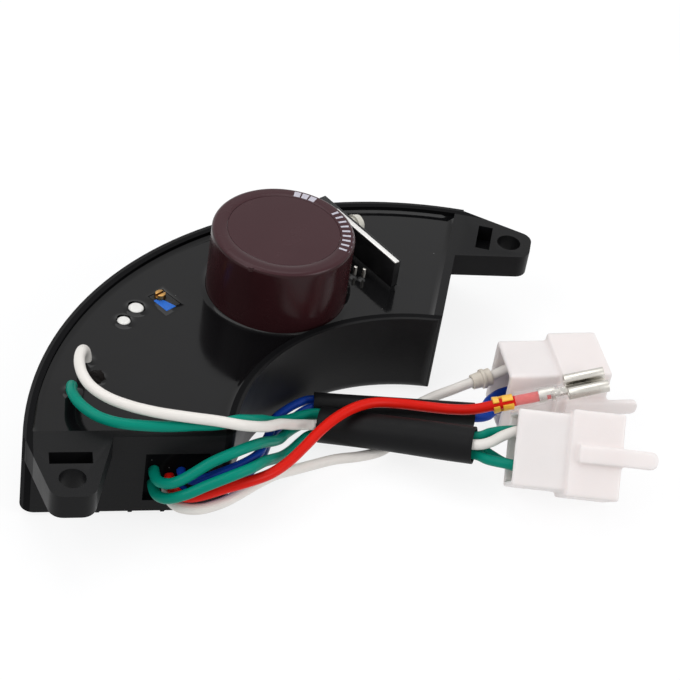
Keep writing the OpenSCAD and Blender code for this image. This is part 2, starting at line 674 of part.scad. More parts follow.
// Moulded body with a thinner upper half, where the screw clamps it.
module device_body(at) {
    step_h = 2 * (plate_top_z - device_drop - screw_z) + 2;
    difference() {
        device_block(at, -1, 0);
        translate([-plate_t / 2 - device_t - 1, at - device_w / 2 - 1, device_top_z - step_h])
            cube([device_t / 2 + 1, device_w + 2, step_h + 1]);
        translate([0, at, screw_z]) rotate([0, 90, 0])
            cylinder(h = 4 * device_t, d = screw_d + 2 * screw_gap, center = true);
    }
}

module power_transistor() {
    color("#1d1d1f") at_plate() device_body(transistor_at);
}

module rectifier() {
    bevel = 1.6;
    color("#1d1d1f") at_plate() difference() {
        device_block(rectifier_at, 1, 0, rectifier_top_z);
        translate([plate_t / 2 + device_t, rectifier_at, rectifier_top_z])
            rotate([0, 45, 0]) cube([bevel, device_w + 2, bevel], center = true);
    }
}

module device_lead_blocks(at, face, grow) {
    low = board_z - board_t - 1;
    for (k = [-1 : 1])
        translate([face * (plate_t + device_t) / 2, at + k * lead_pitch, (low + device_low_z) / 2])
            cube([lead_w + 2 * grow, lead_w + 2 * grow, device_low_z - low], center = true);
}

module transistor_leads() {
    color("#c8c8c4") at_plate() device_lead_blocks(transistor_at, -1, 0);
}

module rectifier_leads() {
    color("#c8c8c4") at_plate() device_lead_blocks(rectifier_at, 1, 0);
}

// Pale screw that enters from the plate's far face, with an insulating shoulder under its pan head.
module plate_screw() {
    reach = plate_t + device_t / 2 + nut_t + 0.5;
    color("#d8d4c8") at_plate() translate([plate_t / 2, transistor_at, screw_z]) rotate([0, 90, 0]) difference() {
        union() {
            cylinder(h = shoulder_l + eps, d = shoulder_d);
            translate([0, 0, shoulder_l]) cylinder(h = screw_head_h, d1 = screw_head_d, d2 = 0.8 * screw_head_d);
            translate([0, 0, -reach]) cylinder(h = reach + eps, d = screw_d);
        }
        for (a = [0, 90]) rotate([0, 0, a])
            translate([0, 0, shoulder_l + screw_head_h])
                cube([0.55 * screw_head_d, 0.7, screw_head_h], center = true);
    }
}

module plate_nut() {
    face = -plate_t / 2 - device_t / 2;
    color("#c4c4c0") at_plate() translate([face - nut_t, transistor_at, screw_z]) rotate([0, 90, 0]) difference() {
        cylinder(h = nut_t, d = nut_af / cos(30), $fn = 6);
        translate([0, 0, -1]) cylinder(h = nut_t + 2, d = screw_d + screw_gap);
    }
}

module trimmer_block(grow) {
    translate([trim_x - trim_w / 2 - grow, trim_mid_y - trim_l / 2 - grow, trim_low_z - grow])
        cube([trim_w + 2 * grow, trim_l + 2 * grow, trim_h + 2 * grow]);
}

module trimmer_pin_rods(grow) {
    for (k = [-1 : 1])
        translate([trim_x, trim_mid_y + k * trim_l / 4, board_z - board_t - 1])
            cylinder(h = trim_low_z - board_z + board_t + 1, d = pin_d + 2 * grow);
}

module trimmer_body() {
    color("#1e5fd0") difference() {
        trimmer_block(0);
        translate([trim_x, trim_y, trim_top_z - trim_screw_depth])
            cylinder(h = trim_screw_depth + 1, r = trim_screw_r + trim_gap);
    }
}

module trimmer_pins() {
    color("#c8c8c4") trimmer_pin_rods(0);
}

module trimmer_screw() {
    length = trim_screw_depth + trim_screw_rise - trim_gap;
    color("#c79a3c") translate([trim_x, trim_y, trim_top_z - trim_screw_depth + trim_gap]) difference() {
        cylinder(h = length, r = trim_screw_r);
        translate([-trim_screw_d, -trim_slot_w / 2, length - trim_slot_depth])
            cube([2 * trim_screw_d, trim_slot_w, trim_slot_depth + 1]);
    }
}

module post(at, d) {
    top_z = potting_z + post_rise;
    translate([at.x, at.y, 0]) rotate_extrude() difference() {
        translate([0, board_z]) square([d / 2, top_z - board_z]);
        translate([d / 2 - 0.4, top_z]) rotate(-45) square([1, 1]);
    }
}

module board_post() {
    color("#e8e6e0") post(post_at, post_d);
}

module small_board_post() {
    color("#e8e6e0") post(small_post_at, small_post_d);
}

module thermistor_shape(grow) {
    translate([bead_at.x, bead_at.y, potting_z - bead_d / 6]) sphere(d = bead_d + 2 * grow, $fn = 32);
    translate([bead_at.x, bead_at.y, board_z])
        cylinder(h = board_depth - bead_d / 6, d = bead_d / 2 + 2 * grow);
}

module thermistor() {
    color("#2a211c") thermistor_shape(0);
}

module trimmed_leads() {
    color("#c8c8c4") for (p = stub_places)
        translate([p.x, p.y, board_z]) cylinder(h = board_depth + stub_rise, d = stub_d);
}

module bridge_pins(grow) {
    for (x = [-1, 1], y = [-1, 1])
        translate([bridge_at.x + x * bridge_size.x / 3, bridge_at.y + y * bridge_size.y / 3,
                board_z - board_t - 1])
            cylinder(h = board_t + 1 + eps, d = pin_d + 2 * grow);
}

module bridge_shape(grow) {
    translate([bridge_at.x - bridge_size.x / 2 - grow, bridge_at.y - bridge_size.y / 2 - grow, board_z])
        difference() {
            cube([bridge_size.x + 2 * grow, bridge_size.y + 2 * grow, bridge_size.z + grow]);
            translate([-bridge_size.x / 12, 0, -1]) rotate([0, 0, 45])
                translate([-bridge_size.x, 0, 0]) cube([bridge_size.x, bridge_size.x / 12, 2 * bridge_size.z]);
        }
    bridge_pins(grow);
}

module bridge_rectifier() {
    color("#222224") bridge_shape(0);
}

// Wirewound resistor on two bent leads, lying above the board.
module resistor_shape(grow) {
    span = resistor_l / 2 + 2.5;
    axis_z = board_z + resistor_rise;
    translate([resistor_at.x, resistor_at.y, axis_z]) rotate([90, 0, -end_angle]) {
        cylinder(h = resistor_l + 2 * grow, d = resistor_d + 2 * grow, center = true);
        cylinder(h = 2 * span, d = resistor_lead_d + 2 * grow, center = true);
        for (s = [-1, 1]) translate([0, 0, s * span]) rotate([90, 0, 0]) {
            cylinder(h = resistor_rise + board_t + 1, d = resistor_lead_d + 2 * grow);
            sphere(d = resistor_lead_d + 2 * grow, $fn = 24);
        }
    }
}

module power_resistor() {
    color("#d9cfb8") resistor_shape(0);
}

module filter_pins(grow) {
    for (s = [-1, 1])
        translate([filter_at.x + s * filter_d / 5, filter_at.y, board_z - board_t - 1])
            cylinder(h = board_t + 1 + eps, d = pin_d + 2 * grow);
}

module filter_shape(grow) {
    translate([filter_at.x, filter_at.y, board_z]) cylinder(h = filter_h + grow, d = filter_d + 2 * grow);
    filter_pins(grow);
}

module filter_capacitor() {
    color("#262a55") filter_shape(0);
}

module white_wire_a() {
    color("#efeae4") tube(white_a_route, wire_d);
}

module white_wire_b() {
    color("#efeae4") tube(white_b_route, wire_d);
}

module green_wire_a() {
    color("#0a8f78") tube(green_a_route, wire_d);
}

module green_wire_b() {
    color("#0a8f78") tube(green_b_route, wire_d);
}

module green_wire_c() {
    color("#0a8f78") tube(green_c_route, wire_d);
}

module red_wire() {
    color("#d8281c") tube(red_route, wire_d);
}

module blue_wire_1() {
    color("#1c3f9c") tube(blue_1_route, blue_d);
}

module blue_wire_2() {
    color("#1c3f9c") tube(blue_2_route, blue_d);
}

module sleeve_tube(line, d) {
    along_line(line) difference() {
        cylinder(h = line_length(line), d = d);
        translate([0, 0, -1]) cylinder(h = line_length(line) + 2, d = d - 2 * sleeve_wall);
    }
}

module main_sleeve() {
    color("#222222") sleeve_tube(main_sleeve_line, main_sleeve_d);
}

module blue_sleeve() {
    color("#222222") sleeve_tube(blue_sleeve_line, blue_sleeve_d);
}

module wire_boot() {
    color("#b8b4a8") along_line(boot_line) difference() {
        union() {
            cylinder(h = line_length(boot_line), d1 = boot_d - 0.8, d2 = boot_d);
            translate([0, 0, line_length(boot_line) / 2]) cylinder(h = 1, d = boot_d + 0.5);
        }
        translate([0, 0, -1]) cylinder(h = line_length(boot_line) + 2, d = wire_d + 2 * wire_gap);
    }
}

// Connector with its wire end at X = 0, its long side along Z and its locking tongue on the side of Y = 0.
module connector() {
    step = front_step;
    difference() {
        union() {
            cube([hood_l + 1, hood_h, hood_w]);
            translate([hood_l, -step, -step]) cube([front_l, hood_h + 2 * step, hood_w + 2 * step]);
            translate([hood_l + 2, -step - tongue_t, (hood_w - tongue_w) / 2])
                cube([front_l - 2 + tongue_reach, tongue_t + eps, tongue_w]);
        }
        translate([-1, hood_wall, hood_wall])
            cube([hood_l + 1, hood_h - 2 * hood_wall, hood_w - 2 * hood_wall]);
        terminal_places() translate([hood_l - 2, -term_h / 2 - term_gap, -term_w / 2 - term_gap])
            cube([front_l + 4, term_h + 2 * term_gap, term_w + 2 * term_gap]);
    }
}

// Chambers 0 and 1 lie above 2 and 3; the even ones lie next to the tongue.
module terminal_places(which = [0 : 3]) {
    for (k = which)
        translate([0, hood_h / 2 + (k % 2 == 0 ? -1 : 1) * slot_h_set, hood_w / 2 + (k < 2 ? 1 : -1) * slot_w_set])
            children();
}

// Female terminal: a folded box with a slit, a neck and a crimped barrel round its wire.
module terminal() {
    body_l = front_l - 3;
    body_at = hood_l + 1;
    barrel_at = hood_l - barrel_l - term_gap;
    bore = wire_d + 2 * wire_gap;
    slit = 1.6;
    difference() {
        union() {
            translate([barrel_at, 0, 0]) rotate([0, 90, 0]) cylinder(h = barrel_l, d = bore + 2 * term_t);
            translate([barrel_at + barrel_l - term_t, -term_h / 2, -neck_w / 2])
                cube([body_at - barrel_at - barrel_l + 2 * term_t, term_t, neck_w]);
        }
        translate([barrel_at - 1, 0, 0]) rotate([0, 90, 0]) cylinder(h = barrel_l + 1, d = bore);
    }
    translate([body_at, 0, 0]) difference() {
        translate([0, -term_h / 2, -term_w / 2]) cube([body_l, term_h, term_w]);
        translate([-1, -term_h / 2 + term_t, -term_w / 2 + term_t])
            cube([body_l + 2, term_h - 2 * term_t, term_w - 2 * term_t]);
        translate([-1, 0, -slit / 2]) cube([body_l + 2, term_h, slit]);
    }
}

module front_frame() {
    translate([front_x, front_y, front_z]) rotate([0, 0, front_yaw]) rotate([-front_tilt, 0, 0]) children();
}

module rear_frame() {
    translate(rear_place) rotate([0, 0, rear_yaw]) children();
}

module front_connector() {
    color("#efeaea") front_frame() connector();
}

module front_terminals() {
    color("#c8c8c4") front_frame() terminal_places() terminal();
}

module rear_connector() {
    color("#efeaea") rear_frame() connector();
}

module rear_terminals() {
    color("#c8c8c4") rear_frame() terminal_places([1 : 3]) terminal();
}

module red_clip() {
    bore = wire_d + 2 * wire_gap;
    slit = 0.6;
    color("#f0ac2e") along_line(red_end_line) difference() {
        cylinder(h = clip_l, d = bore + 2 * clip_wall);
        translate([0, 0, -1]) cylinder(h = clip_l + 2, d = bore);
        translate([-bore, -slit / 2, -1]) cube([bore, slit, clip_l + 2]);
    }
}

module terminal_cover() {
    color("#e8e8e8") along_line(red_end_line) translate([0, 0, cover_at]) difference() {
        cylinder(h = cover_l, d = cover_d);
        translate([0, 0, -1]) cylinder(h = cover_l + 2, d = cover_d - 2 * sleeve_wall);
    }
}

// One rolled edge of the spade, open on its inner side.
module spade_roll(side) {
    slit = 0.9;
    bore = roll_d - 2 * spade_t;
    translate([(spade_t - roll_d) / 2, side * roll_pitch / 2, spade_at]) difference() {
        cylinder(h = spade_l, d = roll_d);
        translate([0, 0, -1]) cylinder(h = spade_l + 2, d = bore);
        translate([-slit / 2, side < 0 ? 0 : -roll_d, -1]) cube([slit, roll_d, spade_l + 2]);
    }
}

module spade_terminal() {
    bore = wire_d + 2 * wire_gap;
    crimp_at = cover_at + cover_l - spade_neck - crimp_l;
    band_at = crimp_at - band_gap - band_l;
    color("#d0d0cc") along_line(red_end_line) {
        difference() {
            translate([0, 0, band_at]) cylinder(h = crimp_at + spade_t - band_at, d = bore + 2 * term_t);
            translate([0, 0, band_at - 1]) cylinder(h = crimp_at - band_at + 1, d = bore);
            translate([-0.4 * bore, -bore, band_at + band_l]) cube([2 * bore, 2 * bore, band_gap]);
        }
        translate([0, 0, crimp_at]) cylinder(h = crimp_l, d = crimp_d);
        translate([-spade_t / 2, -crimp_d / 2, crimp_at + crimp_l - spade_t])
            cube([spade_t, crimp_d, spade_at - crimp_at - crimp_l + 2 * spade_t]);
        translate([-spade_t / 2, -roll_pitch / 2, spade_at]) cube([spade_t, roll_pitch, spade_l]);
        for (side = [-1, 1]) spade_roll(side);
    }
}

case();
potting();
circuit_board();
capacitor_can();
capacitor_sleeve();
capacitor_top_disc();
capacitor_pins();
heat_plate();
power_transistor();
transistor_leads();
rectifier();
rectifier_leads();
plate_screw();
plate_nut();
trimmer_body();
trimmer_pins();
trimmer_screw();
board_post();
small_board_post();
thermistor();
trimmed_leads();
bridge_rectifier();
power_resistor();
filter_capacitor();
white_wire_a();
white_wire_b();
green_wire_a();
green_wire_b();
green_wire_c();
red_wire();
blue_wire_1();
blue_wire_2();
main_sleeve();
blue_sleeve();
wire_boot();
front_connector();
front_terminals();
rear_connector();
rear_terminals();
red_clip();
terminal_cover();
spade_terminal();
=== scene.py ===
from math import atan2, cos, degrees, radians, sin, sqrt

import bpy
from mathutils import Matrix, Vector, noise


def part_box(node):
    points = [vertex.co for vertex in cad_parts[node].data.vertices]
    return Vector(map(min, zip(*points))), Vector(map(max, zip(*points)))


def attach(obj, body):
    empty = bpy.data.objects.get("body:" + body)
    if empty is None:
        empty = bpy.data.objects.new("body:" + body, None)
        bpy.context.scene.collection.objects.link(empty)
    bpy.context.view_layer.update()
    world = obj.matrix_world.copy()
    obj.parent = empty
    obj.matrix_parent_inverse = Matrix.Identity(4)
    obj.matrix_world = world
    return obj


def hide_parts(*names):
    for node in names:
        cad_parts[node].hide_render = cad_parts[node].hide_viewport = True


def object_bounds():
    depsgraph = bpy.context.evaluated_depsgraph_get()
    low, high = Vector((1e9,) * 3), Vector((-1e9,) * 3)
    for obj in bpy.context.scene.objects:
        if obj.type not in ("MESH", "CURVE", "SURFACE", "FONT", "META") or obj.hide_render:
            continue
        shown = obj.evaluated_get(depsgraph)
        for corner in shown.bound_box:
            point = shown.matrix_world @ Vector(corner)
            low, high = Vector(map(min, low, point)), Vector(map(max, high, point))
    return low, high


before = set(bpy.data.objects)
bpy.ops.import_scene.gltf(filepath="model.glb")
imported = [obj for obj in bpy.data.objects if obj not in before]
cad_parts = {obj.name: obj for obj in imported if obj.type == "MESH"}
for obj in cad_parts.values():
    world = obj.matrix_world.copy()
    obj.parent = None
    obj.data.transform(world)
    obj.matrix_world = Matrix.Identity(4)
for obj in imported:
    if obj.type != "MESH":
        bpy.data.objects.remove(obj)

# Camera and studio. The camera stands at the photograph's place, above the left end of the tray.
# The backdrop and the floor are white paper, and three wide soft boxes light the part evenly.
MM = 0.001
CAD_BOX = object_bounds()
CAMERA_AT = Vector((-301.023, -252.745, 336.304)) * MM
CAMERA_RIGHT = Vector((0.70379, -0.69850, 0.12953))
CAMERA_UP = Vector((0.38226, 0.52604, 0.75971))
LENS_MM = 112.25
SENSOR_MM = 36
FLOOR_SIDE = 6.0
FLOOR_Z = CAD_BOX[0].z - 0.1 * MM
FLOOR_GREY = (0.2, 0.2, 0.202, 1)
FLOOR_GLOW = 0.82
FLOOR_BOUNCE = 0.55
ROOM_TINT = (0.97, 0.985, 1.0, 1)
AMBIENT = 0.5

lens = bpy.data.cameras.new("photo_lens")
lens.lens = LENS_MM
lens.sensor_width = SENSOR_MM
lens.clip_start = 0.01
camera = bpy.data.objects.new("photo_camera", lens)
back = CAMERA_RIGHT.cross(CAMERA_UP)
camera_turn = Matrix((CAMERA_RIGHT, CAMERA_UP, back)).transposed()
camera.matrix_world = Matrix.Translation(CAMERA_AT) @ camera_turn.to_4x4()
bpy.context.scene.collection.objects.link(camera)
bpy.context.scene.camera = camera
bpy.context.scene.view_settings.view_transform = "Standard"


def backdrop_share(nodes, links):
    """1 for rays that see the paper directly, in a mirror or through something clear."""
    path = nodes.new("ShaderNodeLightPath")
    seen = nodes.new("ShaderNodeMath")
    seen.operation = "MAXIMUM"
    links.new(path.outputs["Is Camera Ray"], seen.inputs[0])
    links.new(path.outputs["Is Glossy Ray"], seen.inputs[1])
    through = nodes.new("ShaderNodeMath")
    through.operation = "MAXIMUM"
    links.new(seen.outputs[0], through.inputs[0])
    links.new(path.outputs["Is Transmission Ray"], through.inputs[1])
    return through.outputs[0]


world = bpy.data.worlds.new("white_paper")
bpy.context.scene.world = world
world.use_nodes = True
nodes, links = world.node_tree.nodes, world.node_tree.links
nodes.clear()
room = nodes.new("ShaderNodeBackground")
room.inputs["Color"].default_value = ROOM_TINT
room.inputs["Strength"].default_value = AMBIENT
paper = nodes.new("ShaderNodeBackground")
paper.inputs["Color"].default_value = (1, 1, 1, 1)
paper.inputs["Strength"].default_value = 1.0
either = nodes.new("ShaderNodeMixShader")
links.new(backdrop_share(nodes, links), either.inputs["Fac"])
links.new(room.outputs[0], either.inputs[1])
links.new(paper.outputs[0], either.inputs[2])
links.new(either.outputs[0], nodes.new("ShaderNodeOutputWorld").inputs["Surface"])

bpy.ops.object.select_all(action="DESELECT")
bpy.ops.mesh.primitive_plane_add(size=FLOOR_SIDE, location=(0, 0, FLOOR_Z))
floor = bpy.context.object
floor.name = "paper_floor"
floor_paper = bpy.data.materials.new("floor_paper")
floor_paper.use_nodes = True
nodes, links = floor_paper.node_tree.nodes, floor_paper.node_tree.links
nodes.clear()
lit = nodes.new("ShaderNodeBsdfDiffuse")
lit.inputs["Color"].default_value = FLOOR_GREY
glow = nodes.new("ShaderNodeEmission")
glow.inputs["Color"].default_value = (1, 1, 1, 1)
shown = nodes.new("ShaderNodeMapRange")
shown.inputs["To Min"].default_value = FLOOR_BOUNCE
shown.inputs["To Max"].default_value = FLOOR_GLOW
links.new(backdrop_share(nodes, links), shown.inputs["Value"])
links.new(shown.outputs["Result"], glow.inputs["Strength"])
both = nodes.new("ShaderNodeAddShader")
links.new(lit.outputs[0], both.inputs[0])
links.new(glow.outputs[0], both.inputs[1])
links.new(both.outputs[0], nodes.new("ShaderNodeOutputMaterial").inputs["Surface"])
floor.data.materials.append(floor_paper)


def soft_box(name, place, side, watts):
    """A square lamp that faces the middle of the part, sizes in metres."""
    lamp = bpy.data.lights.new(name, "AREA")
    lamp.shape = "SQUARE"
    lamp.size = side
    lamp.energy = watts
    stand = bpy.data.objects.new(name, lamp)
    stand.location = place
    stand.rotation_euler = (-Vector(place)).to_track_quat("-Z", "Y").to_euler()
    bpy.context.scene.collection.objects.link(stand)


soft_box("key_box", (-0.75, 0.25, 0.8), side=0.7, watts=4.2)
soft_box("fill_box", (0.35, -0.95, 0.6), side=0.6, watts=4.2)
soft_box("top_box", (0.15, 0.35, 1.1), side=0.8, watts=3.5)


# Tray. One moulding of satin black plastic: a crescent with a low rim, two mounting ears, a window
# for the wires in its left end wall and ribs underneath. The inner half of its rim has its sheen cut as
# painted shade.
TRAY_EDGE = 0.45
TRAY_AXIS = (0, -44, 0)
RING_MIDDLE = 71.7
# Painted shade band on the rim: its distance from the ring's middle line, from and to, in mm.
PAINTED_SHADE_RIM_BAND = (21.9, 23.4)
TRAY_SHEEN = 0.12
PAINTED_SHADE_RIM_SHEEN = 0.024
TRAY_BLACK = (0.0055, 0.0055, 0.006, 1)
MOTTLE_SPAN = (0.3, 0.7)
GLOSS_SPREAD = 0.06
LEAST_ROUGH = 0.02


def finish(name, colour, rough, metal=0.0, mottle=0.12, mottle_size=6.0, grain=0.04, grain_size=0.35,
           stretch=(1, 1, 1), **sockets):
    """A surface whose colour and gloss wander a little and whose skin has a fine grain, sizes in mm."""
    made = bpy.data.materials.new(name)
    made.use_nodes = True
    nodes, links = made.node_tree.nodes, made.node_tree.links
    shader = nodes["Principled BSDF"]
    shader.inputs["Metallic"].default_value = metal
    for socket, value in sockets.items():
        shader.inputs[socket.replace("_", " ")].default_value = value
    place = nodes.new("ShaderNodeTexCoord")
    mapping = nodes.new("ShaderNodeMapping")
    mapping.inputs["Scale"].default_value = stretch
    links.new(place.outputs["Object"], mapping.inputs["Vector"])
    broad = nodes.new("ShaderNodeTexNoise")
    broad.inputs["Scale"].default_value = 1 / (mottle_size * MM)
    broad.inputs["Detail"].default_value = 5
    links.new(mapping.outputs[0], broad.inputs["Vector"])
    tint = nodes.new("ShaderNodeMix")
    tint.data_type = "RGBA"
    tint.inputs["A"].default_value = (*[c * (1 - mottle) for c in colour[:3]], 1)
    tint.inputs["B"].default_value = (*[min(1, c * (1 + mottle)) for c in colour[:3]], 1)
    links.new(broad.outputs["Fac"], tint.inputs["Factor"])
    links.new(tint.outputs["Result"], shader.inputs["Base Color"])
    gloss = nodes.new("ShaderNodeMapRange")
    gloss.inputs["From Min"].default_value = MOTTLE_SPAN[0]
    gloss.inputs["From Max"].default_value = MOTTLE_SPAN[1]
    gloss.inputs["To Min"].default_value = max(LEAST_ROUGH, rough - GLOSS_SPREAD)
    gloss.inputs["To Max"].default_value = rough + GLOSS_SPREAD
    links.new(broad.outputs["Fac"], gloss.inputs["Value"])
    links.new(gloss.outputs["Result"], shader.inputs["Roughness"])
    fine = nodes.new("ShaderNodeTexNoise")
    fine.inputs["Scale"].default_value = 1 / (grain_size * MM)
    fine.inputs["Detail"].default_value = 3
    links.new(mapping.outputs[0], fine.inputs["Vector"])
    skin = nodes.new("ShaderNodeBump")
    skin.inputs["Strength"].default_value = 1.0
    skin.inputs["Distance"].default_value = grain * MM
    links.new(fine.outputs["Fac"], skin.inputs["Height"])
    links.new(skin.outputs["Normal"], shader.inputs["Normal"])
    return made


def edit(piece):
    """Enters edit mode on one piece, with all of it selected and nothing else."""
    bpy.ops.object.select_all(action="DESELECT")
    bpy.context.view_layer.objects.active = piece
    piece.select_set(True)
    bpy.ops.object.mode_set(mode="EDIT")
    bpy.ops.mesh.select_all(action="SELECT")


def apply_modifier(piece, kind, **settings):
    """Adds a modifier with these settings and applies it."""
    bpy.context.view_layer.objects.active = piece
    added = piece.modifiers.new(kind.lower(), kind)
    for setting, value in settings.items():
        setattr(added, setting, value)
    bpy.ops.object.modifier_apply(modifier=added.name)


def cad_copy(name, node):
    """A copy of a CAD solid, with the points of its faces joined."""
    piece = bpy.data.objects.new(name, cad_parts[node].data.copy())
    bpy.context.scene.collection.objects.link(piece)
    edit(piece)
    bpy.ops.mesh.customdata_custom_splitnormals_clear()
    bpy.ops.mesh.remove_doubles(threshold=0.002 * MM)
    bpy.ops.mesh.dissolve_limited(angle_limit=radians(0.5))
    bpy.ops.object.mode_set(mode="OBJECT")
    return piece


def dress(piece, material, slot_name, *nodes_stood_for, body="regulator", angle=35):
    """Shades a finished piece, gives it its material, ties it to its body and hides the CAD nodes it stands
    for; slot_name is not used.
    """
    bpy.ops.object.select_all(action="DESELECT")
    bpy.context.view_layer.objects.active = piece
    piece.select_set(True)
    bpy.ops.object.shade_smooth_by_angle(angle=radians(angle))
    piece.data.materials.clear()
    piece.data.materials.append(material)
    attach(piece, body)
    if nodes_stood_for:
        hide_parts(*nodes_stood_for)
    return piece


def softened(name, node, width, material, slot_name, body="regulator", angle=35, segments=3):
    """A copy of a CAD solid with its sharp edges rounded, width in mm."""
    piece = cad_copy(name, node)
    apply_modifier(piece, "BEVEL", width=width * MM, segments=segments, limit_method="ANGLE",
                   angle_limit=radians(angle), use_clamp_overlap=True, harden_normals=False)
    return dress(piece, material, slot_name, node, body=body, angle=angle)


def object_place(material):
    return material.node_tree.nodes["Texture Coordinate"].outputs["Object"]


def reckon(material, kind, operation, *terms):
    """Adds one maths node, fed by sockets and fixed values, and returns its outputs."""
    nodes, links = material.node_tree.nodes, material.node_tree.links
    node = nodes.new(kind)
    node.operation = operation
    for socket, term in zip(node.inputs, terms):
        if isinstance(term, bpy.types.NodeSocket):
            links.new(term, socket)
        else:
            socket.default_value = term
    return node.outputs


def vary_sheen(material, share, plain, other):
    """Gives a material's mirror sheen one level where the share is 0, another where it is 1."""
    nodes, links = material.node_tree.nodes, material.node_tree.links
    sheen = nodes.new("ShaderNodeMapRange")
    sheen.inputs["To Min"].default_value = plain
    sheen.inputs["To Max"].default_value = other
    links.new(share, sheen.inputs["Value"])
    links.new(sheen.outputs["Result"], nodes["Principled BSDF"].inputs["Specular IOR Level"])


def painted_shade_rim_share(material):
    """1 on the inner half of the rim along both arcs, where painted shade cuts the sheen, else 0."""
    level = reckon(material, "ShaderNodeVectorMath", "MULTIPLY", object_place(material), (1, 1, 0))
    axis = [c * MM for c in TRAY_AXIS]
    from_axis = reckon(material, "ShaderNodeVectorMath", "DISTANCE", level["Vector"], axis)
    from_ring = reckon(material, "ShaderNodeMath", "SUBTRACT", from_axis["Value"], RING_MIDDLE * MM)
    either_side = reckon(material, "ShaderNodeMath", "ABSOLUTE", from_ring["Value"])
    middle_of_band = sum(PAINTED_SHADE_RIM_BAND) / 2 * MM
    half_of_band = (PAINTED_SHADE_RIM_BAND[1] - PAINTED_SHADE_RIM_BAND[0]) / 2 * MM
    return reckon(material, "ShaderNodeMath", "COMPARE", either_side["Value"], middle_of_band,
                  half_of_band)["Value"]


satin_black = finish("satin_black", TRAY_BLACK, 0.42, mottle=0.25, mottle_size=14.0, grain=0.03,
                     grain_size=0.4)
# Painted shade: the inner half of the rim gets little mirror sheen and stands in for the shade of a rounded
# inner edge.
vary_sheen(satin_black, painted_shade_rim_share(satin_black), TRAY_SHEEN, PAINTED_SHADE_RIM_SHEEN)
softened("moulded_tray", "case", TRAY_EDGE, satin_black, "case_black", angle=40, segments=2)


# Circuit board and the parts sunk in the resin. The board is coated glass fibre; the bridge, the
# power resistor and the filter capacitor are soldered on it with tinned leads and hidden by the resin.
TIN = (0.56, 0.54, 0.50, 1)


def paint(node, material):
    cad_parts[node].data.materials.clear()
    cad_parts[node].data.materials.append(material)


tinned_metal = finish("tinned_metal", TIN, 0.3, metal=1.0, mottle=0.1, mottle_size=1.5, grain=0.01,
                      grain_size=0.2)
paint("circuit_board", finish("board_coat", (0.02, 0.12, 0.04, 1), 0.4))
paint("bridge_rectifier", finish("bridge_epoxy", (0.012, 0.012, 0.012, 1), 0.5))
paint("power_resistor", finish("resistor_coat", (0.5, 0.44, 0.32, 1), 0.6))
paint("filter_capacitor", finish("filter_film", (0.01, 0.012, 0.06, 1), 0.25))
for node in ("capacitor_pins", "transistor_leads", "rectifier_leads", "trimmer_pins"):
    paint(node, tinned_metal)


# Main capacitor. An aluminium can in a glossy maroon shrink film that laps over the top edge and
# leaves the middle of the top to a flat disc. The film's lap shows as a small step on the edge.
CAN_EDGE = 1.2
SHOULDER_STEPS = 10
FILM = 0.35
FILM_SINK = 0.03
SIDE_RINGS = (12, 3)
FLAT_START = 2.2
LIP_INSET = 0.5
LIP_ROUND = (0.12, 0.08)
DISC_EDGE = [(0.05, 0.12), (0.15, 0.03), (0.5, 0.02)]
LAP_START = 150
LAP_TURN = 50
LAP_STEP = 0.4
LAP_HEIGHT = 2
LAP_DEPTH = 0.6
FILM_MAROON = (0.027, 0.0075, 0.009, 1)
PAINTED_LIGHT_TOP_MAROON = (0.048, 0.0165, 0.0205, 1)
TOP_DEPTH = 0.5
INK = (0.52, 0.50, 0.57, 1)
INK_THICK = 0.02
INK_RISE = 0.012
BAR_INNER = 0.5
BAR_BEND = 0.1
BAR_OUTER = (0.55, 0.19)
WIDE_BARS = [22, 29.5, 37]
WIDE_BAR_TURN = 6
THIN_BARS = [-64, -57, -50, -43, -36, -29, -22, -15, -8]
THIN_BAR_TURN = 2.4


def middle(node):
    low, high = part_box(node)
    return ((low.x + high.x) / 2 / MM, (low.y + high.y) / 2 / MM)


def radius_of(node):
    low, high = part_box(node)
    return (high.x - low.x) / 2 / MM


def spun(name, profile, centre, steps, start=0, turn=360):
    """A ring, or part of one, turned from (radius, height) points in mm about a vertical axis."""
    bpy.ops.object.select_all(action="DESELECT")
    bpy.ops.mesh.primitive_plane_add(size=MM, calc_uvs=False, location=(0, 0, 0))
    piece = bpy.context.object
    piece.name = name
    edit(piece)
    bpy.ops.mesh.merge(type="CENTER")
    # Leaving edit mode frees the merged points' numbers, so the new ones are numbered along the line.
    bpy.ops.object.mode_set(mode="OBJECT")
    edit(piece)
    for _ in profile[1:]:
        bpy.ops.mesh.extrude_region_move()
    bpy.ops.object.mode_set(mode="OBJECT")
    for v, (radius, height) in zip(piece.data.vertices, profile):
        v.co = (radius * MM, 0, height * MM)
    edit(piece)
    bpy.ops.mesh.spin(steps=steps, angle=radians(turn), center=(0, 0, 0), axis=(0, 0, 1))
    bpy.ops.mesh.select_all(action="SELECT")
    bpy.ops.mesh.remove_doubles(threshold=0.001 * MM)
    bpy.ops.mesh.normals_make_consistent(inside=False)
    bpy.ops.object.mode_set(mode="OBJECT")
    place = Matrix.Translation(Vector((*centre, 0)) * MM)
    piece.data.transform(place @ Matrix.Rotation(radians(start), 4, "Z"))
    return piece


def past_plane(material, direction, edge):
    """1 on the side of a plane that its direction points to, else 0; edge in metres from the origin."""
    reach = reckon(material, "ShaderNodeVectorMath", "DOT_PRODUCT", object_place(material), direction)
    return reckon(material, "ShaderNodeMath", "GREATER_THAN", reach["Value"], edge)["Value"]


def recolour(material, share, colour):
    """Gives a material another colour where the share is 1."""
    nodes, links = material.node_tree.nodes, material.node_tree.links
    other = nodes.new("ShaderNodeMix")
    other.data_type = "RGBA"
    other.inputs["B"].default_value = colour
    base = nodes["Principled BSDF"].inputs["Base Color"]
    links.new(share, other.inputs["Factor"])
    links.new(base.links[0].from_socket, other.inputs["A"])
    links.new(other.outputs["Result"], base)


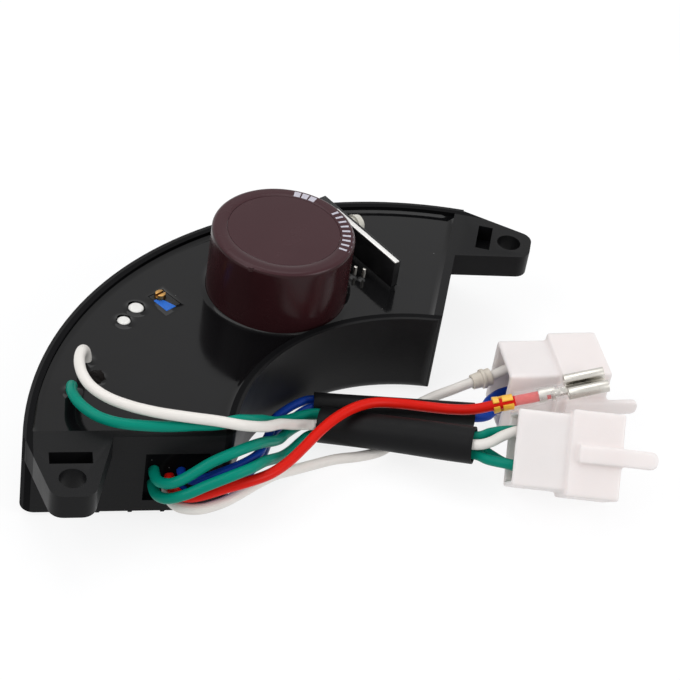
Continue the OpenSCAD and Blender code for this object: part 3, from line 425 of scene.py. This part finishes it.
can_low, can_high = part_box("capacitor_sleeve")
can_r = radius_of("capacitor_sleeve")
can_foot = can_low.z / MM
can_top = can_high.z / MM - FILM_SINK
can_at = middle("capacitor_sleeve")
lip_r = radius_of("capacitor_top_disc") - LIP_INSET
shoulder = [(can_r - CAN_EDGE * (1 - cos(a)), can_top - CAN_EDGE * (1 - sin(a)))
            for a in [radians(90 * step / SHOULDER_STEPS) for step in range(SHOULDER_STEPS + 1)]]
film = spun("capacitor_film", [
    (can_r - FILM, can_foot),
    (can_r, can_foot),
    *[(can_r, can_top - depth) for depth in SIDE_RINGS],
    *shoulder,
    (can_r - FLAT_START, can_top),
    (lip_r + LIP_ROUND[0], can_top),
    (lip_r, can_top - LIP_ROUND[1]),
    (lip_r, can_top - FILM),
    (can_r - CAN_EDGE, can_top - FILM),
    (can_r - FILM, can_top - CAN_EDGE),
    (can_r - FILM, can_foot),
], can_at, steps=180)
for v in film.data.vertices:
    out = Vector((v.co.x / MM - can_at[0], v.co.y / MM - can_at[1]))
    past = (degrees(atan2(out.y, out.x)) - LAP_START) % 360
    if out.length > can_r - LAP_DEPTH and past < LAP_TURN and v.co.z / MM > can_top - LAP_HEIGHT:
        v.co.xy += out.normalized() * LAP_STEP * past / LAP_TURN * MM
maroon_film = finish("maroon_film", FILM_MAROON, 0.24, mottle=0.14, mottle_size=9.0, grain=0.03,
                     grain_size=4.0, Specular_IOR_Level=0.16)
# Painted light: the top of the film and the disc get a lighter maroon than the side, standing in for the
# light that falls on the top.
recolour(maroon_film, past_plane(maroon_film, (0, 0, 1), (can_top - TOP_DEPTH) * MM), PAINTED_LIGHT_TOP_MAROON)
dress(film, maroon_film, "cap_sleeve", "capacitor_sleeve", angle=40)

top_disc = spun("capacitor_top_plate", [
    (0, can_top - FILM),
    (lip_r - DISC_EDGE[0][0], can_top - FILM),
    *[(lip_r - inset, can_top - depth) for inset, depth in DISC_EDGE],
    (0, can_top - DISC_EDGE[-1][1]),
], can_at, steps=120)
dress(top_disc, maroon_film, "cap_disc", "capacitor_top_disc", angle=40)

ink = finish("pale_ink", INK, 0.5, mottle=0.15, mottle_size=0.8)
bar_edge = [
    (lip_r + BAR_INNER, can_top + INK_RISE),
    (can_r - CAN_EDGE - BAR_BEND, can_top + INK_RISE),
    (can_r - BAR_OUTER[0], can_top - BAR_OUTER[1]),
]
for name, turns, turn in (("wide_bar", WIDE_BARS, WIDE_BAR_TURN), ("thin_bar", THIN_BARS, THIN_BAR_TURN)):
    for count, start in enumerate(turns):
        bar = spun(f"{name}_{count}", bar_edge, can_at, steps=4, start=start, turn=turn)
        apply_modifier(bar, "SOLIDIFY", thickness=INK_THICK * MM, offset=0.0)
        dress(bar, ink, "cap_sleeve", angle=40)
paint("capacitor_can", finish("can_aluminium", (0.7, 0.71, 0.73, 1), 0.35, metal=1.0))


# Heat plate and its parts. A black coated aluminium bar stands in the resin, rubbed bare along the near
# arris of its top. A pale shouldered screw and a nut hold one power device on it; a second stands behind.
ALUMINIUM = (0.66, 0.655, 0.64, 1)
PLATE_COAT = (0.006, 0.006, 0.0065, 1)
PLATE_FACE = Vector((0.9945, -0.1045, 0))
BARE_EDGE = 0.3
BARE_END_Y = 31
BARE_SIDE = 35.75
coated_plate = finish("coated_plate", PLATE_COAT, 0.4, mottle=0.2, mottle_size=2.0, grain=0.04,
                      grain_size=0.5, stretch=(1, 1, 6), Specular_IOR_Level=0.25)
bare = past_plane(coated_plate, (0, 0, 1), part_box("heat_plate")[1].z - BARE_EDGE * MM)
for direction, edge in (((0, -1, 0), -BARE_END_Y), (-PLATE_FACE, -BARE_SIDE)):
    on_side = past_plane(coated_plate, direction, edge * MM)
    bare = reckon(coated_plate, "ShaderNodeMath", "MULTIPLY", bare, on_side)["Value"]
recolour(coated_plate, bare, ALUMINIUM)
coated_plate.node_tree.links.new(bare, coated_plate.node_tree.nodes["Principled BSDF"].inputs["Metallic"])
device_epoxy = finish("device_epoxy", (0.007, 0.007, 0.007, 1), 0.42, mottle=0.2, Specular_IOR_Level=0.2)
pale_nylon = finish("pale_nylon", (0.62, 0.60, 0.53, 1), 0.45)
softened("sawn_heat_plate", "heat_plate", 0.15, coated_plate, "bare_aluminium", segments=2)
softened("plate_pan_screw", "plate_screw", 0.6, pale_nylon, "screw_pale", segments=4)
softened("plate_hex_nut", "plate_nut", 0.2, tinned_metal, "tinned")
softened("transistor_block", "power_transistor", 0.25, device_epoxy, "device_black")
softened("rectifier_block", "rectifier", 0.25, device_epoxy, "device_black")


# Trimmer. A small blue block soldered upright on the board, just clear of the resin, with a slotted
# brass screw that turns in its top. A thin film of resin has run over the block's far half.
TRIMMER_BLUE = (0.012, 0.13, 0.55, 1)
BRASS = (0.42, 0.235, 0.075, 1)
RESIN_BLACK = (0.004, 0.004, 0.0045, 1)
RESIN_FILM_EDGES = [((0.969, 0.2466, 0), -5.75), ((0, 1, 0), 37.4)]
trimmer_plastic = finish("trimmer_plastic", TRIMMER_BLUE, 0.4, mottle=0.2, mottle_size=1.5, grain=0.05,
                         Specular_IOR_Level=0.25)
for direction, edge in RESIN_FILM_EDGES:
    recolour(trimmer_plastic, past_plane(trimmer_plastic, direction, edge * MM), RESIN_BLACK)
worn_brass = finish("worn_brass", BRASS, 0.34, metal=1.0, mottle=0.25, mottle_size=0.8)
softened("trimmer_block", "trimmer_body", 0.2, trimmer_plastic, "trimmer_blue")
softened("trimmer_brass_screw", "trimmer_screw", 0.1, worn_brass, "brass", body="trimmer_screw", segments=2)


# Board posts, sensor bead and cut leads. Two white nylon posts and a dark dipped bead stand up from
# the board through the resin, and two tinned leads are cut off beside the heat plate.
POST_WHITE = (0.80, 0.79, 0.76, 1)
BEAD_DARK = (0.006, 0.0045, 0.004, 1)
BEAD_SINK = 1.2
BEAD_HALVES = (2.1, 2.1, 1.9)
BEAD_LUMPS = [(0.18, 1.7), (0.09, 5)]
post_nylon = finish("post_nylon", POST_WHITE, 0.4, mottle=0.05, mottle_size=1.5)
softened("nylon_post", "board_post", 0.35, post_nylon, "nylon_white", segments=4)
softened("small_nylon_post", "small_board_post", 0.35, post_nylon, "nylon_white", segments=4)
bead_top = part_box("thermistor")[1].z / MM
bead_at = Vector((*middle("thermistor"), bead_top - BEAD_SINK)) * MM
bpy.ops.object.select_all(action="DESELECT")
bpy.ops.mesh.primitive_ico_sphere_add(subdivisions=5, radius=1, location=(0, 0, 0))
bead = bpy.context.object
bead.name = "sensor_bead"
for v in bead.data.vertices:
    lump = 1 + sum(height * noise.noise(v.co * fineness) for height, fineness in BEAD_LUMPS)
    v.co = bead_at + Vector([c * half for c, half in zip(v.co, BEAD_HALVES)]) * lump * MM
bead_skin = finish("bead_resin", BEAD_DARK, 0.5, mottle=0.4, mottle_size=1.0, grain=0.25, grain_size=0.5,
                   Specular_IOR_Level=0.07)
dress(bead, bead_skin, "bead_dark", "thermistor")
softened("cut_leads", "trimmed_leads", 0.15, tinned_metal, "tinned", segments=2)


# Resin. Black potting compound is poured in round the board's parts and sets with a glossy skin
# that creeps a little up whatever stands in it. Where it fills the window its sheen is taken away as
# painted shade.
RESIN_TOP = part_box("potting")[1].z
RESIN_SHEEN = 0.22
WINDOW_PAINTED_SHADE_SHEEN = 0.01
PAINTED_SHADE_DEPTH = 1.0
SPECK_GAP = 5.0
SPECK_SIZE = 0.13
DUST = (0.16, 0.155, 0.15, 1)
CREEP_REACH = 1.4
CREEP_RISE = 0.4
CREEP_STEPS = 4

resin = finish("glossy_resin", RESIN_BLACK, 0.09, mottle=0.3, mottle_size=25.0, grain=0.05, grain_size=14.0)
cells = resin.node_tree.nodes.new("ShaderNodeTexVoronoi")
cells.inputs["Scale"].default_value = 1 / (SPECK_GAP * MM)
resin.node_tree.links.new(object_place(resin), cells.inputs["Vector"])
specks = reckon(resin, "ShaderNodeMath", "LESS_THAN", cells.outputs["Distance"], SPECK_SIZE / SPECK_GAP)
recolour(resin, specks["Value"], DUST)
# Painted shade: resin lying more than this depth below the top, in the window recess, gets almost no mirror
# sheen, so the recess is dark.
on_top = past_plane(resin, (0, 0, 1), RESIN_TOP - PAINTED_SHADE_DEPTH * MM)
vary_sheen(resin, on_top, WINDOW_PAINTED_SHADE_SHEEN, RESIN_SHEEN)
paint("potting", resin)


def flat_place(v):
    return (round(v.co.x / MM, 3), round(v.co.y / MM, 3))


creep = cad_copy("resin_creep", "potting")
edit(creep)
bpy.ops.mesh.select_mode(type="FACE")
bpy.ops.mesh.select_all(action="DESELECT")
bpy.ops.object.mode_set(mode="OBJECT")
for face in creep.data.polygons:
    face.select = face.normal.z < 0.99 or abs(face.center.z - RESIN_TOP) > 0.01 * MM
bpy.ops.object.mode_set(mode="EDIT")
bpy.ops.mesh.delete(type="FACE")
bpy.ops.mesh.select_all(action="SELECT")
step_of = {}
for step in range(CREEP_STEPS):
    bpy.ops.object.mode_set(mode="OBJECT")
    for v in creep.data.vertices:
        step_of.setdefault(flat_place(v), step)
    bpy.ops.object.mode_set(mode="EDIT")
    bpy.ops.mesh.inset(thickness=CREEP_REACH / CREEP_STEPS * MM, depth=0, use_boundary=True,
                       use_even_offset=True)
bpy.ops.mesh.delete(type="FACE")
bpy.ops.mesh.select_mode(type="VERT")
bpy.ops.object.mode_set(mode="OBJECT")
for v in creep.data.vertices:
    share_in = step_of.get(flat_place(v), CREEP_STEPS) / CREEP_STEPS
    v.co.z += CREEP_RISE * MM * (1 - share_in) ** 2
dress(creep, resin, "potting_black", angle=60)


# Sleeves. Two lengths of soft black tubing are slipped over the wires: the wide one over the four
# wires of the front connector, the thin one over the two blue wires. Both are cut square.
MAIN_SLEEVE_LINE = [(0, -7, -12.6), (20, -39.5, -6.5)]
BLUE_SLEEVE_LINE = [(4.4, -0.3, -13), (32.6, -29, -11)]
MAIN_SLEEVE_D = 9.2
BLUE_SLEEVE_D = 6.0
SLEEVE_WALL = 0.4
SLEEVE_CUT = 0.1
SQUEEZE = 0.02
SLEEVE_BLACK = (0.0075, 0.0075, 0.008, 1)
sleeve_skin = finish("sleeve_skin", SLEEVE_BLACK, 0.46, mottle=0.2, mottle_size=3.0, grain=0.02,
                     grain_size=0.25, Specular_IOR_Level=0.1)


def along(line):
    """Matrix from a frame whose Z runs along the line, with X turned towards the camera."""
    start, end = (Vector(p) * MM for p in line)
    run = (end - start).normalized()
    side = run.cross(back).normalized()
    return Matrix.Translation(start) @ Matrix((side.cross(run), side, run)).transposed().to_4x4()


def tube(name, radius, low, high, sides, cuts):
    """An open tube round the Z axis, cut into rings along its length."""
    bpy.ops.object.select_all(action="DESELECT")
    bpy.ops.mesh.primitive_cylinder_add(vertices=sides, radius=radius, depth=high - low,
                                        end_fill_type="NOTHING", location=(0, 0, (low + high) / 2))
    piece = bpy.context.object
    piece.name = name
    bpy.ops.object.transform_apply(location=True, rotation=True, scale=True)
    edit(piece)
    bpy.ops.mesh.select_mode(type="EDGE")
    bpy.ops.mesh.select_all(action="DESELECT")
    bpy.ops.object.mode_set(mode="OBJECT")
    for e in piece.data.edges:
        ends = [piece.data.vertices[v].co for v in e.vertices]
        e.select = abs(ends[0].z - ends[1].z) > 0.5 * (high - low)
    bpy.ops.object.mode_set(mode="EDIT")
    bpy.ops.mesh.subdivide(number_cuts=cuts)
    bpy.ops.mesh.select_mode(type="VERT")
    bpy.ops.object.mode_set(mode="OBJECT")
    return piece


def walled(piece, wall, edge):
    """Gives a tube its wall, inwards, and rounds the edges of its ends, sizes in mm."""
    apply_modifier(piece, "SOLIDIFY", thickness=wall * MM, offset=-1.0)
    apply_modifier(piece, "BEVEL", width=edge * MM, segments=2, limit_method="ANGLE",
                   angle_limit=radians(50))


def soft_sleeve(name, node, line, diameter):
    """A sleeve that the wires inside push a little out of round, with plain cut ends."""
    length = (Vector(line[1]) - Vector(line[0])).length * MM
    piece = tube(name, diameter / 2 * MM, 0, length, sides=48, cuts=40)
    for v in piece.data.vertices:
        turn = atan2(v.co.y, v.co.x)
        share = v.co.z / length
        swell = SQUEEZE * sin(2 * turn + 5 * share) + 0.5 * SQUEEZE * sin(7 * share + turn)
        v.co.xy *= 1 + swell - SQUEEZE
    walled(piece, SLEEVE_WALL, SLEEVE_CUT)
    piece.data.transform(along(line))
    return dress(piece, sleeve_skin, "sleeve_black", node)


main_sleeve = soft_sleeve("main_sleeve_tube", "main_sleeve", MAIN_SLEEVE_LINE, MAIN_SLEEVE_D)
blue_sleeve = soft_sleeve("blue_sleeve_tube", "blue_sleeve", BLUE_SLEEVE_LINE, BLUE_SLEEVE_D)


# Connector housings. Each is one moulding of milky nylon: a hood that the wires enter, a wider
# front with four chambers, and a locking tongue with a round end. All outer edges are soft.
HOUSING_CELL = 0.34
HOUSING_PASSES = 22
TONGUE_TIP = 34.4
TONGUE_MIDDLE = 9.3
TONGUE_HALF = 2.2
TIP_LEAST = 0.2
FRONT_PLACE = (Matrix.Translation((16.6, -54.6, -6.303)) @ Matrix.Rotation(radians(-46), 4, "Z")
               @ Matrix.Rotation(radians(-45), 4, "X"))
REAR_PLACE = Matrix.Translation((38, -33.5, -16.7)) @ Matrix.Rotation(radians(-34), 4, "Z")
NYLON = (0.86, 0.795, 0.78, 1)
milky_nylon = finish("milky_nylon", NYLON, 0.36, mottle=0.03, mottle_size=9.0, grain=0.015,
                     grain_size=0.5, Subsurface_Weight=0.5, Subsurface_Scale=3 * MM,
                     Subsurface_Radius=(1.0, 0.93, 0.9), Specular_IOR_Level=0.3)


def milky_housing(name, node, place):
    """A housing with soft moulded edges and a half-round tip on its tongue; place is in mm."""
    piece = cad_copy(name, node)
    apply_modifier(piece, "REMESH", mode="VOXEL", voxel_size=HOUSING_CELL * MM)
    inwards = place.inverted()
    for v in piece.data.vertices:
        local = inwards @ (v.co / MM)
        past = min(1.0, (local.x - TONGUE_TIP + TONGUE_HALF) / TONGUE_HALF)
        if past > 0:
            narrow = max(TIP_LEAST, sqrt(1 - past ** 4))
            local.z = TONGUE_MIDDLE + (local.z - TONGUE_MIDDLE) * narrow
            v.co = place @ local * MM
    apply_modifier(piece, "SMOOTH", factor=0.5, iterations=HOUSING_PASSES)
    return dress(piece, milky_nylon, "connector_nylon", node, angle=60)


front_connector = milky_housing("front_housing", "front_connector", FRONT_PLACE)
rear_connector = milky_housing("rear_housing", "rear_connector", REAR_PLACE)


# Terminals in the chambers. They are stamped from thin tinned brass, rolled into barrels, and
# crimped on the bared ends of the wires before they are pushed into the housings.
front_terminals = softened("front_crimps", "front_terminals", 0.08, tinned_metal, "tinned", segments=2)
rear_terminals = softened("rear_crimps", "rear_terminals", 0.08, tinned_metal, "tinned", segments=2)


# Boot on the second white wire. A short ribbed grommet of grey-beige rubber grips the wire just
# before it enters the rear connector.
BOOT_RUBBER = (0.72, 0.66, 0.57, 1)
boot_rubber = finish("boot_rubber", BOOT_RUBBER, 0.5, mottle=0.1, mottle_size=2.0, grain=0.02,
                     grain_size=0.3)
wire_boot = softened("rubber_boot", "wire_boot", 0.18, boot_rubber, "boot_grey")


# End of the red wire. A yellow plated barrel grips the insulation, a clear sleeve slides over the
# joint, and a tinned push-on terminal with two rolled edges is crimped on the strands.
RED_END_LINE = [(30.8, -35, -2.6), (55, -52, 5)]
CLIP_LENGTH = 5.0
CLIP_BORE = 2.75
CLIP_WALL = 0.6
CLIP_CUT = 0.09
CLIP_FLARE = 0.08
CLIP_SLIT = 16
CLIP_GAP = (1.5, 2.3)
CLIP_GAP_TURN = 105
CLIP_YELLOW = (0.90, 0.50, 0.05, 1)
COVER_START = 5.4
COVER_LENGTH = 12.5
COVER_D = 4.6
COVER_WALL = 0.38
COVER_CUT = 0.1
COVER_PINCH = 0.10
COVER_CLEAR = (0.95, 0.93, 0.93, 1)

clip_r = CLIP_BORE / 2 + CLIP_WALL
clip = tube("yellow_clip", clip_r * MM, 0, CLIP_LENGTH * MM, sides=120, cuts=49)
edit(clip)
bpy.ops.mesh.select_mode(type="FACE")
bpy.ops.mesh.select_all(action="DESELECT")
bpy.ops.object.mode_set(mode="OBJECT")
for face in clip.data.polygons:
    turn = abs(atan2(face.center.y, face.center.x))
    in_gap = CLIP_GAP[0] * MM < face.center.z < CLIP_GAP[1] * MM and turn < radians(CLIP_GAP_TURN)
    face.select = turn < radians(CLIP_SLIT) or in_gap
bpy.ops.object.mode_set(mode="EDIT")
bpy.ops.mesh.delete(type="FACE")
bpy.ops.mesh.select_mode(type="VERT")
bpy.ops.object.mode_set(mode="OBJECT")
for v in clip.data.vertices:
    v.co.xy *= 1 + CLIP_FLARE * max(0.0, 1 - v.co.z / (CLIP_GAP[0] * MM))
walled(clip, CLIP_WALL, CLIP_CUT)
clip.data.transform(along(RED_END_LINE))
yellow_plate = finish("yellow_plate", CLIP_YELLOW, 0.34, mottle_size=1.5, grain=0.01, grain_size=0.25)
dress(clip, yellow_plate, "clip_yellow", "red_clip")

cover_end = COVER_START + COVER_LENGTH
cover = tube("clear_cover", COVER_D / 2 * MM, COVER_START * MM, cover_end * MM, sides=40, cuts=24)
for v in cover.data.vertices:
    share = (v.co.z / MM - COVER_START) / COVER_LENGTH
    v.co.xy *= 1 - COVER_PINCH * share ** 2
walled(cover, COVER_WALL, COVER_CUT)
cover.data.transform(along(RED_END_LINE))
clear_plastic = finish("clear_plastic", COVER_CLEAR, 0.14, mottle=0.02, grain=0.01, grain_size=0.8,
                       Alpha=0.1, Specular_IOR_Level=0.5)
dress(cover, clear_plastic, "cover_clear", "terminal_cover")
spade = softened("push_on_terminal", "spade_terminal", 0.12, tinned_metal, "tinned", segments=2)


# Wires. Eight strands of stranded copper in plastic insulation: two white, three green, one red and
# two thinner blue ones. They leave the resin or the window and lie as the photograph shows them.
WIRE_D = 2.6
BLUE_D = 2.2
STEPS_PER_SPAN = 6
WHITE_A_ROUTE = [
    (-44.6, 30.2, -6.8), (-44.6, 30.2, -1), (-44.6, 30.2, 5.3), (-45.8, 29.6, 9),
    (-48.6, 27.6, 11.8), (-52, 24.4, 13), (-54.6, 20.2, 13.2), (-55.6, 15.6, 13),
    (-54.6, 10.6, 12.6), (-51.8, 5.4, 12.2), (-48, 0.6, 11.8), (-43.5, -4.3, 11.6),
    (-38.5, -8.5, 10.8), (-33.6, -12.4, 9.6), (-25.9, -12.2, 4.8), (-18.2, -9.8, -0.4),
    (-11.4, -8.1, -5.6), (-6.4, -7.3, -9), (-3, -7.2, -11), (-0.5, -8.9, -11.1),
    (0.9, -11.4, -10.4), (4.8, -17.7, -9.2), (9, -24.6, -7.9), (13.6, -32, -6.5),
    (18.6, -40.1, -5), (20.9, -43, -3.4), (23.2, -45, -0.9), (26.2, -47.2, 0.6),
    (29.8, -50.8, 0.8), (33.6, -54.8, 0.8),
]
WHITE_B_ROUTE = [
    (-41.6, 3.5, -11.6), (-44.1, 0.1, -11.6), (-46.6, -3.3, -11.6), (-47.8, -6.2, -11.5),
    (-47.4, -9.4, -11.1), (-44.6, -12.6, -10.5), (-39.6, -14.6, -9.8), (-34, -15, -9.6),
    (-28, -14.6, -10.2), (-21.6, -13.8, -12), (-15, -13.6, -14.4), (-8.6, -14, -16.1),
    (-2.4, -15.6, -16.6), (3.4, -18.6, -16.6), (9, -20.4, -16.6), (14.6, -19.6, -16.6),
    (19.4, -16.4, -16.6), (24.6, -14.8, -15.6), (29.6, -16.8, -12.8), (33.8, -20.2, -9.6),
    (38, -22.4, -7.8), (42.6, -24.4, -6.8), (46.8, -26.8, -4.4), (50.4, -29.3, -3.1),
    (53.8, -31.6, -3.1),
]
GREEN_A_ROUTE = [
    (-54.4, 23.8, -6.8), (-54.4, 23.8, -1), (-54.4, 23.8, 5.3), (-55.4, 22.6, 8.2),
    (-57.8, 19.4, 9.4), (-58.9, 15, 9.6), (-58.2, 10, 9.4), (-55.6, 5.6, 9.2), (-51.4, 1.6, 9),
    (-46.6, -1.8, 8.6), (-41.6, -4.8, 8.4), (-37, -7.6, 8.2), (-32.6, -9.2, 8.3),
    (-27.4, -9.4, 5.6), (-21.6, -7.2, 0.8), (-15, -5.6, -4.6), (-8.6, -4, -8.6),
    (-3.2, -3.5, -10.6), (1.3, -5.4, -11), (6.1, -14.1, -9.6), (11.1, -22.3, -8),
    (16.1, -30.4, -6.5), (21.1, -38.5, -5), (25, -40.2, -4.6), (29, -42.9, -4.1), (32.9, -47, -4),
    (37.1, -51.4, -4),
]
GREEN_B_ROUTE = [
    (-44.5, 5.6, -5.2), (-47, 2.2, -5.2), (-49.5, -1.2, -5.2), (-50.5, -3.9, -4.9),
    (-49.9, -6.7, -3.8), (-47.6, -9, -1.8), (-42, -11.4, 1.8), (-36.8, -13.4, 3.6),
    (-31.4, -13.6, 2.8), (-26, -12.4, 0), (-20.6, -10.4, -4.2), (-14.8, -7.6, -8.8),
    (-8.8, -4.6, -12.2), (-3, -3.7, -13.5), (1.6, -5.6, -14), (6.5, -14.5, -12.5),
    (11.4, -22.7, -10.9), (16.4, -30.8, -9.4), (21.4, -38.9, -7.9), (23, -42.4, -9),
    (24.6, -46, -10), (26.8, -49.5, -10.1), (29.6, -52.4, -10.1), (32.7, -55.6, -10.1),
]
GREEN_C_ROUTE = [
    (-44.5, 5.6, -9.4), (-47, 2.2, -9.4), (-49.5, -1.2, -9.4), (-50.8, -4.2, -9),
    (-50.6, -7.6, -7.5), (-48.4, -11, -4.8), (-44.4, -13.8, -2), (-39.6, -16.4, 0.2),
    (-34.2, -17.2, 0.2), (-29, -15.8, -2), (-24, -14, -5.4), (-18.4, -12, -9.2),
    (-12.6, -9.8, -12.2), (-7.4, -8, -13.7), (-3.6, -7.3, -14.2), (-1, -8.7, -14.2),
    (0.7, -11.7, -13.4), (4.6, -17.7, -12.4), (8.9, -24.3, -11.1), (13.9, -32.4, -9.5),
    (18.9, -40.5, -8), (19.4, -44.6, -7), (20.4, -48.4, -5.8), (22.6, -52.2, -5.3),
    (25.8, -55.4, -5.3), (29.3, -59, -5.3),
]
RED_ROUTE = [
    (-41.4, 3.4, -7.6), (-43.9, 0, -7.6), (-46.4, -3.4, -7.6), (-47.5, -6.2, -7.9),
    (-46.8, -9, -8), (-44.6, -11.6, -7), (-39.6, -14.8, -5), (-34.6, -17, -4.2),
    (-28.6, -18.2, -4.2), (-22.2, -17.8, -4.2), (-15.6, -16.4, -4.1), (-9, -14.8, -4),
    (-2.4, -13.8, -4), (4, -13.8, -4.2), (10, -15, -5), (15.6, -18.2, -6), (20.4, -22.6, -6.4),
    (24.2, -27.4, -5.8), (27.2, -31.6, -4.4), (30.8, -35, -2.6), (34.8, -37.8, -1.3),
    (38.7, -40.6, -0.1), (42.2, -43, 1),
]
BLUE_1_ROUTE = [
    (-37.4, 4.5, -5.6), (-40.5, 0.3, -5.6), (-43.7, -4.1, -5.6), (-44.5, -6.4, -5.3),
    (-44, -8.8, -4.7), (-42.2, -10.6, -3.6), (-36.6, -13.4, -1.4), (-31.2, -13.4, -2),
    (-25.8, -11.4, -4.2), (-20.2, -7.6, -7.2), (-14.6, -4, -9.4), (-8.8, 0.2, -11.4),
    (-3, 1.7, -12.4), (1.6, 1.9, -12.8), (5.4, 0.7, -12.9), (10.9, -5.1, -12.5),
    (16.6, -10.9, -12.1), (22.2, -16.6, -11.8), (27.9, -22.4, -11.4), (33.5, -28.1, -11),
    (36.6, -28.6, -11.1), (40, -27.4, -11.4), (44.4, -27, -11.6), (49, -28.4, -11.7),
    (53.8, -31.6, -11.7),
]
BLUE_2_ROUTE = [
    (-37.4, 4.5, -9.6), (-40.5, 0.3, -9.6), (-43.7, -4.1, -9.6), (-44.5, -6.4, -9.5),
    (-44, -8.8, -9.2), (-42.2, -10.6, -8.4), (-36.6, -13.2, -6.6), (-31.2, -13.2, -6.6),
    (-25.8, -11.2, -8), (-20.4, -8, -10), (-14.8, -4.2, -12.2), (-8.8, -1.2, -13.6),
    (-2.2, -0.4, -13.9), (3.5, -1.2, -13.1), (9.1, -6.9, -12.7), (14.8, -12.7, -12.3),
    (20.4, -18.4, -11.8), (26.1, -24.2, -11.4), (31.7, -29.9, -11), (35, -31.4, -11.1),
    (38.2, -30.9, -11.4), (42.2, -31.7, -11.6), (46, -34.5, -11.7), (50, -37.2, -11.7),
]


def smooth_line(route):
    """Points on one smooth curve through the route's points, in metres."""
    points = [Vector(p) * MM for p in route]
    padded = [2 * points[0] - points[1], *points, 2 * points[-1] - points[-2]]
    line = []
    for before, start, end, after in zip(padded, padded[1:], padded[2:], padded[3:]):
        for step in range(STEPS_PER_SPAN):
            t = step / STEPS_PER_SPAN
            line.append(0.5 * (2 * start + (end - before) * t
                               + (2 * before - 5 * start + 4 * end - after) * t ** 2
                               + (3 * start - before - 3 * end + after) * t ** 3))
    return [*line, points[-1]]


def wire(name, node, route, diameter, material):
    """An insulated wire along its route."""
    line = smooth_line(route)
    curve = bpy.data.curves.new(name, "CURVE")
    curve.dimensions = "3D"
    curve.bevel_depth = diameter / 2 * MM
    curve.bevel_resolution = 6
    curve.use_fill_caps = True
    spline = curve.splines.new("POLY")
    spline.points.add(len(line) - 1)
    for point, place in zip(spline.points, line):
        point.co = (*place, 1)
    spline.use_smooth = True
    curve.materials.append(material)
    piece = bpy.data.objects.new(name, curve)
    bpy.context.scene.collection.objects.link(piece)
    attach(piece, "regulator")
    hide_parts(node)


def insulation(name, colour, sheen):
    return finish(name, colour, 0.35, mottle=0.06, mottle_size=5.0, grain=0.012, grain_size=0.4,
                  Specular_IOR_Level=sheen)


white_skin = insulation("white_insulation", (0.83, 0.795, 0.75, 1), 0.25)
green_skin = insulation("green_insulation", (0.0005, 0.235, 0.165, 1), 0.1)
red_skin = insulation("red_insulation", (0.69, 0.011, 0.005, 1), 0.12)
blue_skin = insulation("blue_insulation", (0.006, 0.05, 0.36, 1), 0.15)
wire("white_lead_a", "white_wire_a", WHITE_A_ROUTE, WIRE_D, white_skin)
wire("green_lead_a", "green_wire_a", GREEN_A_ROUTE, WIRE_D, green_skin)
wire("green_lead_b", "green_wire_b", GREEN_B_ROUTE, WIRE_D, green_skin)
wire("green_lead_c", "green_wire_c", GREEN_C_ROUTE, WIRE_D, green_skin)
wire("white_lead_b", "white_wire_b", WHITE_B_ROUTE, WIRE_D, white_skin)
wire("red_lead", "red_wire", RED_ROUTE, WIRE_D, red_skin)
wire("blue_lead_1", "blue_wire_1", BLUE_1_ROUTE, BLUE_D, blue_skin)
wire("blue_lead_2", "blue_wire_2", BLUE_2_ROUTE, BLUE_D, blue_skin)
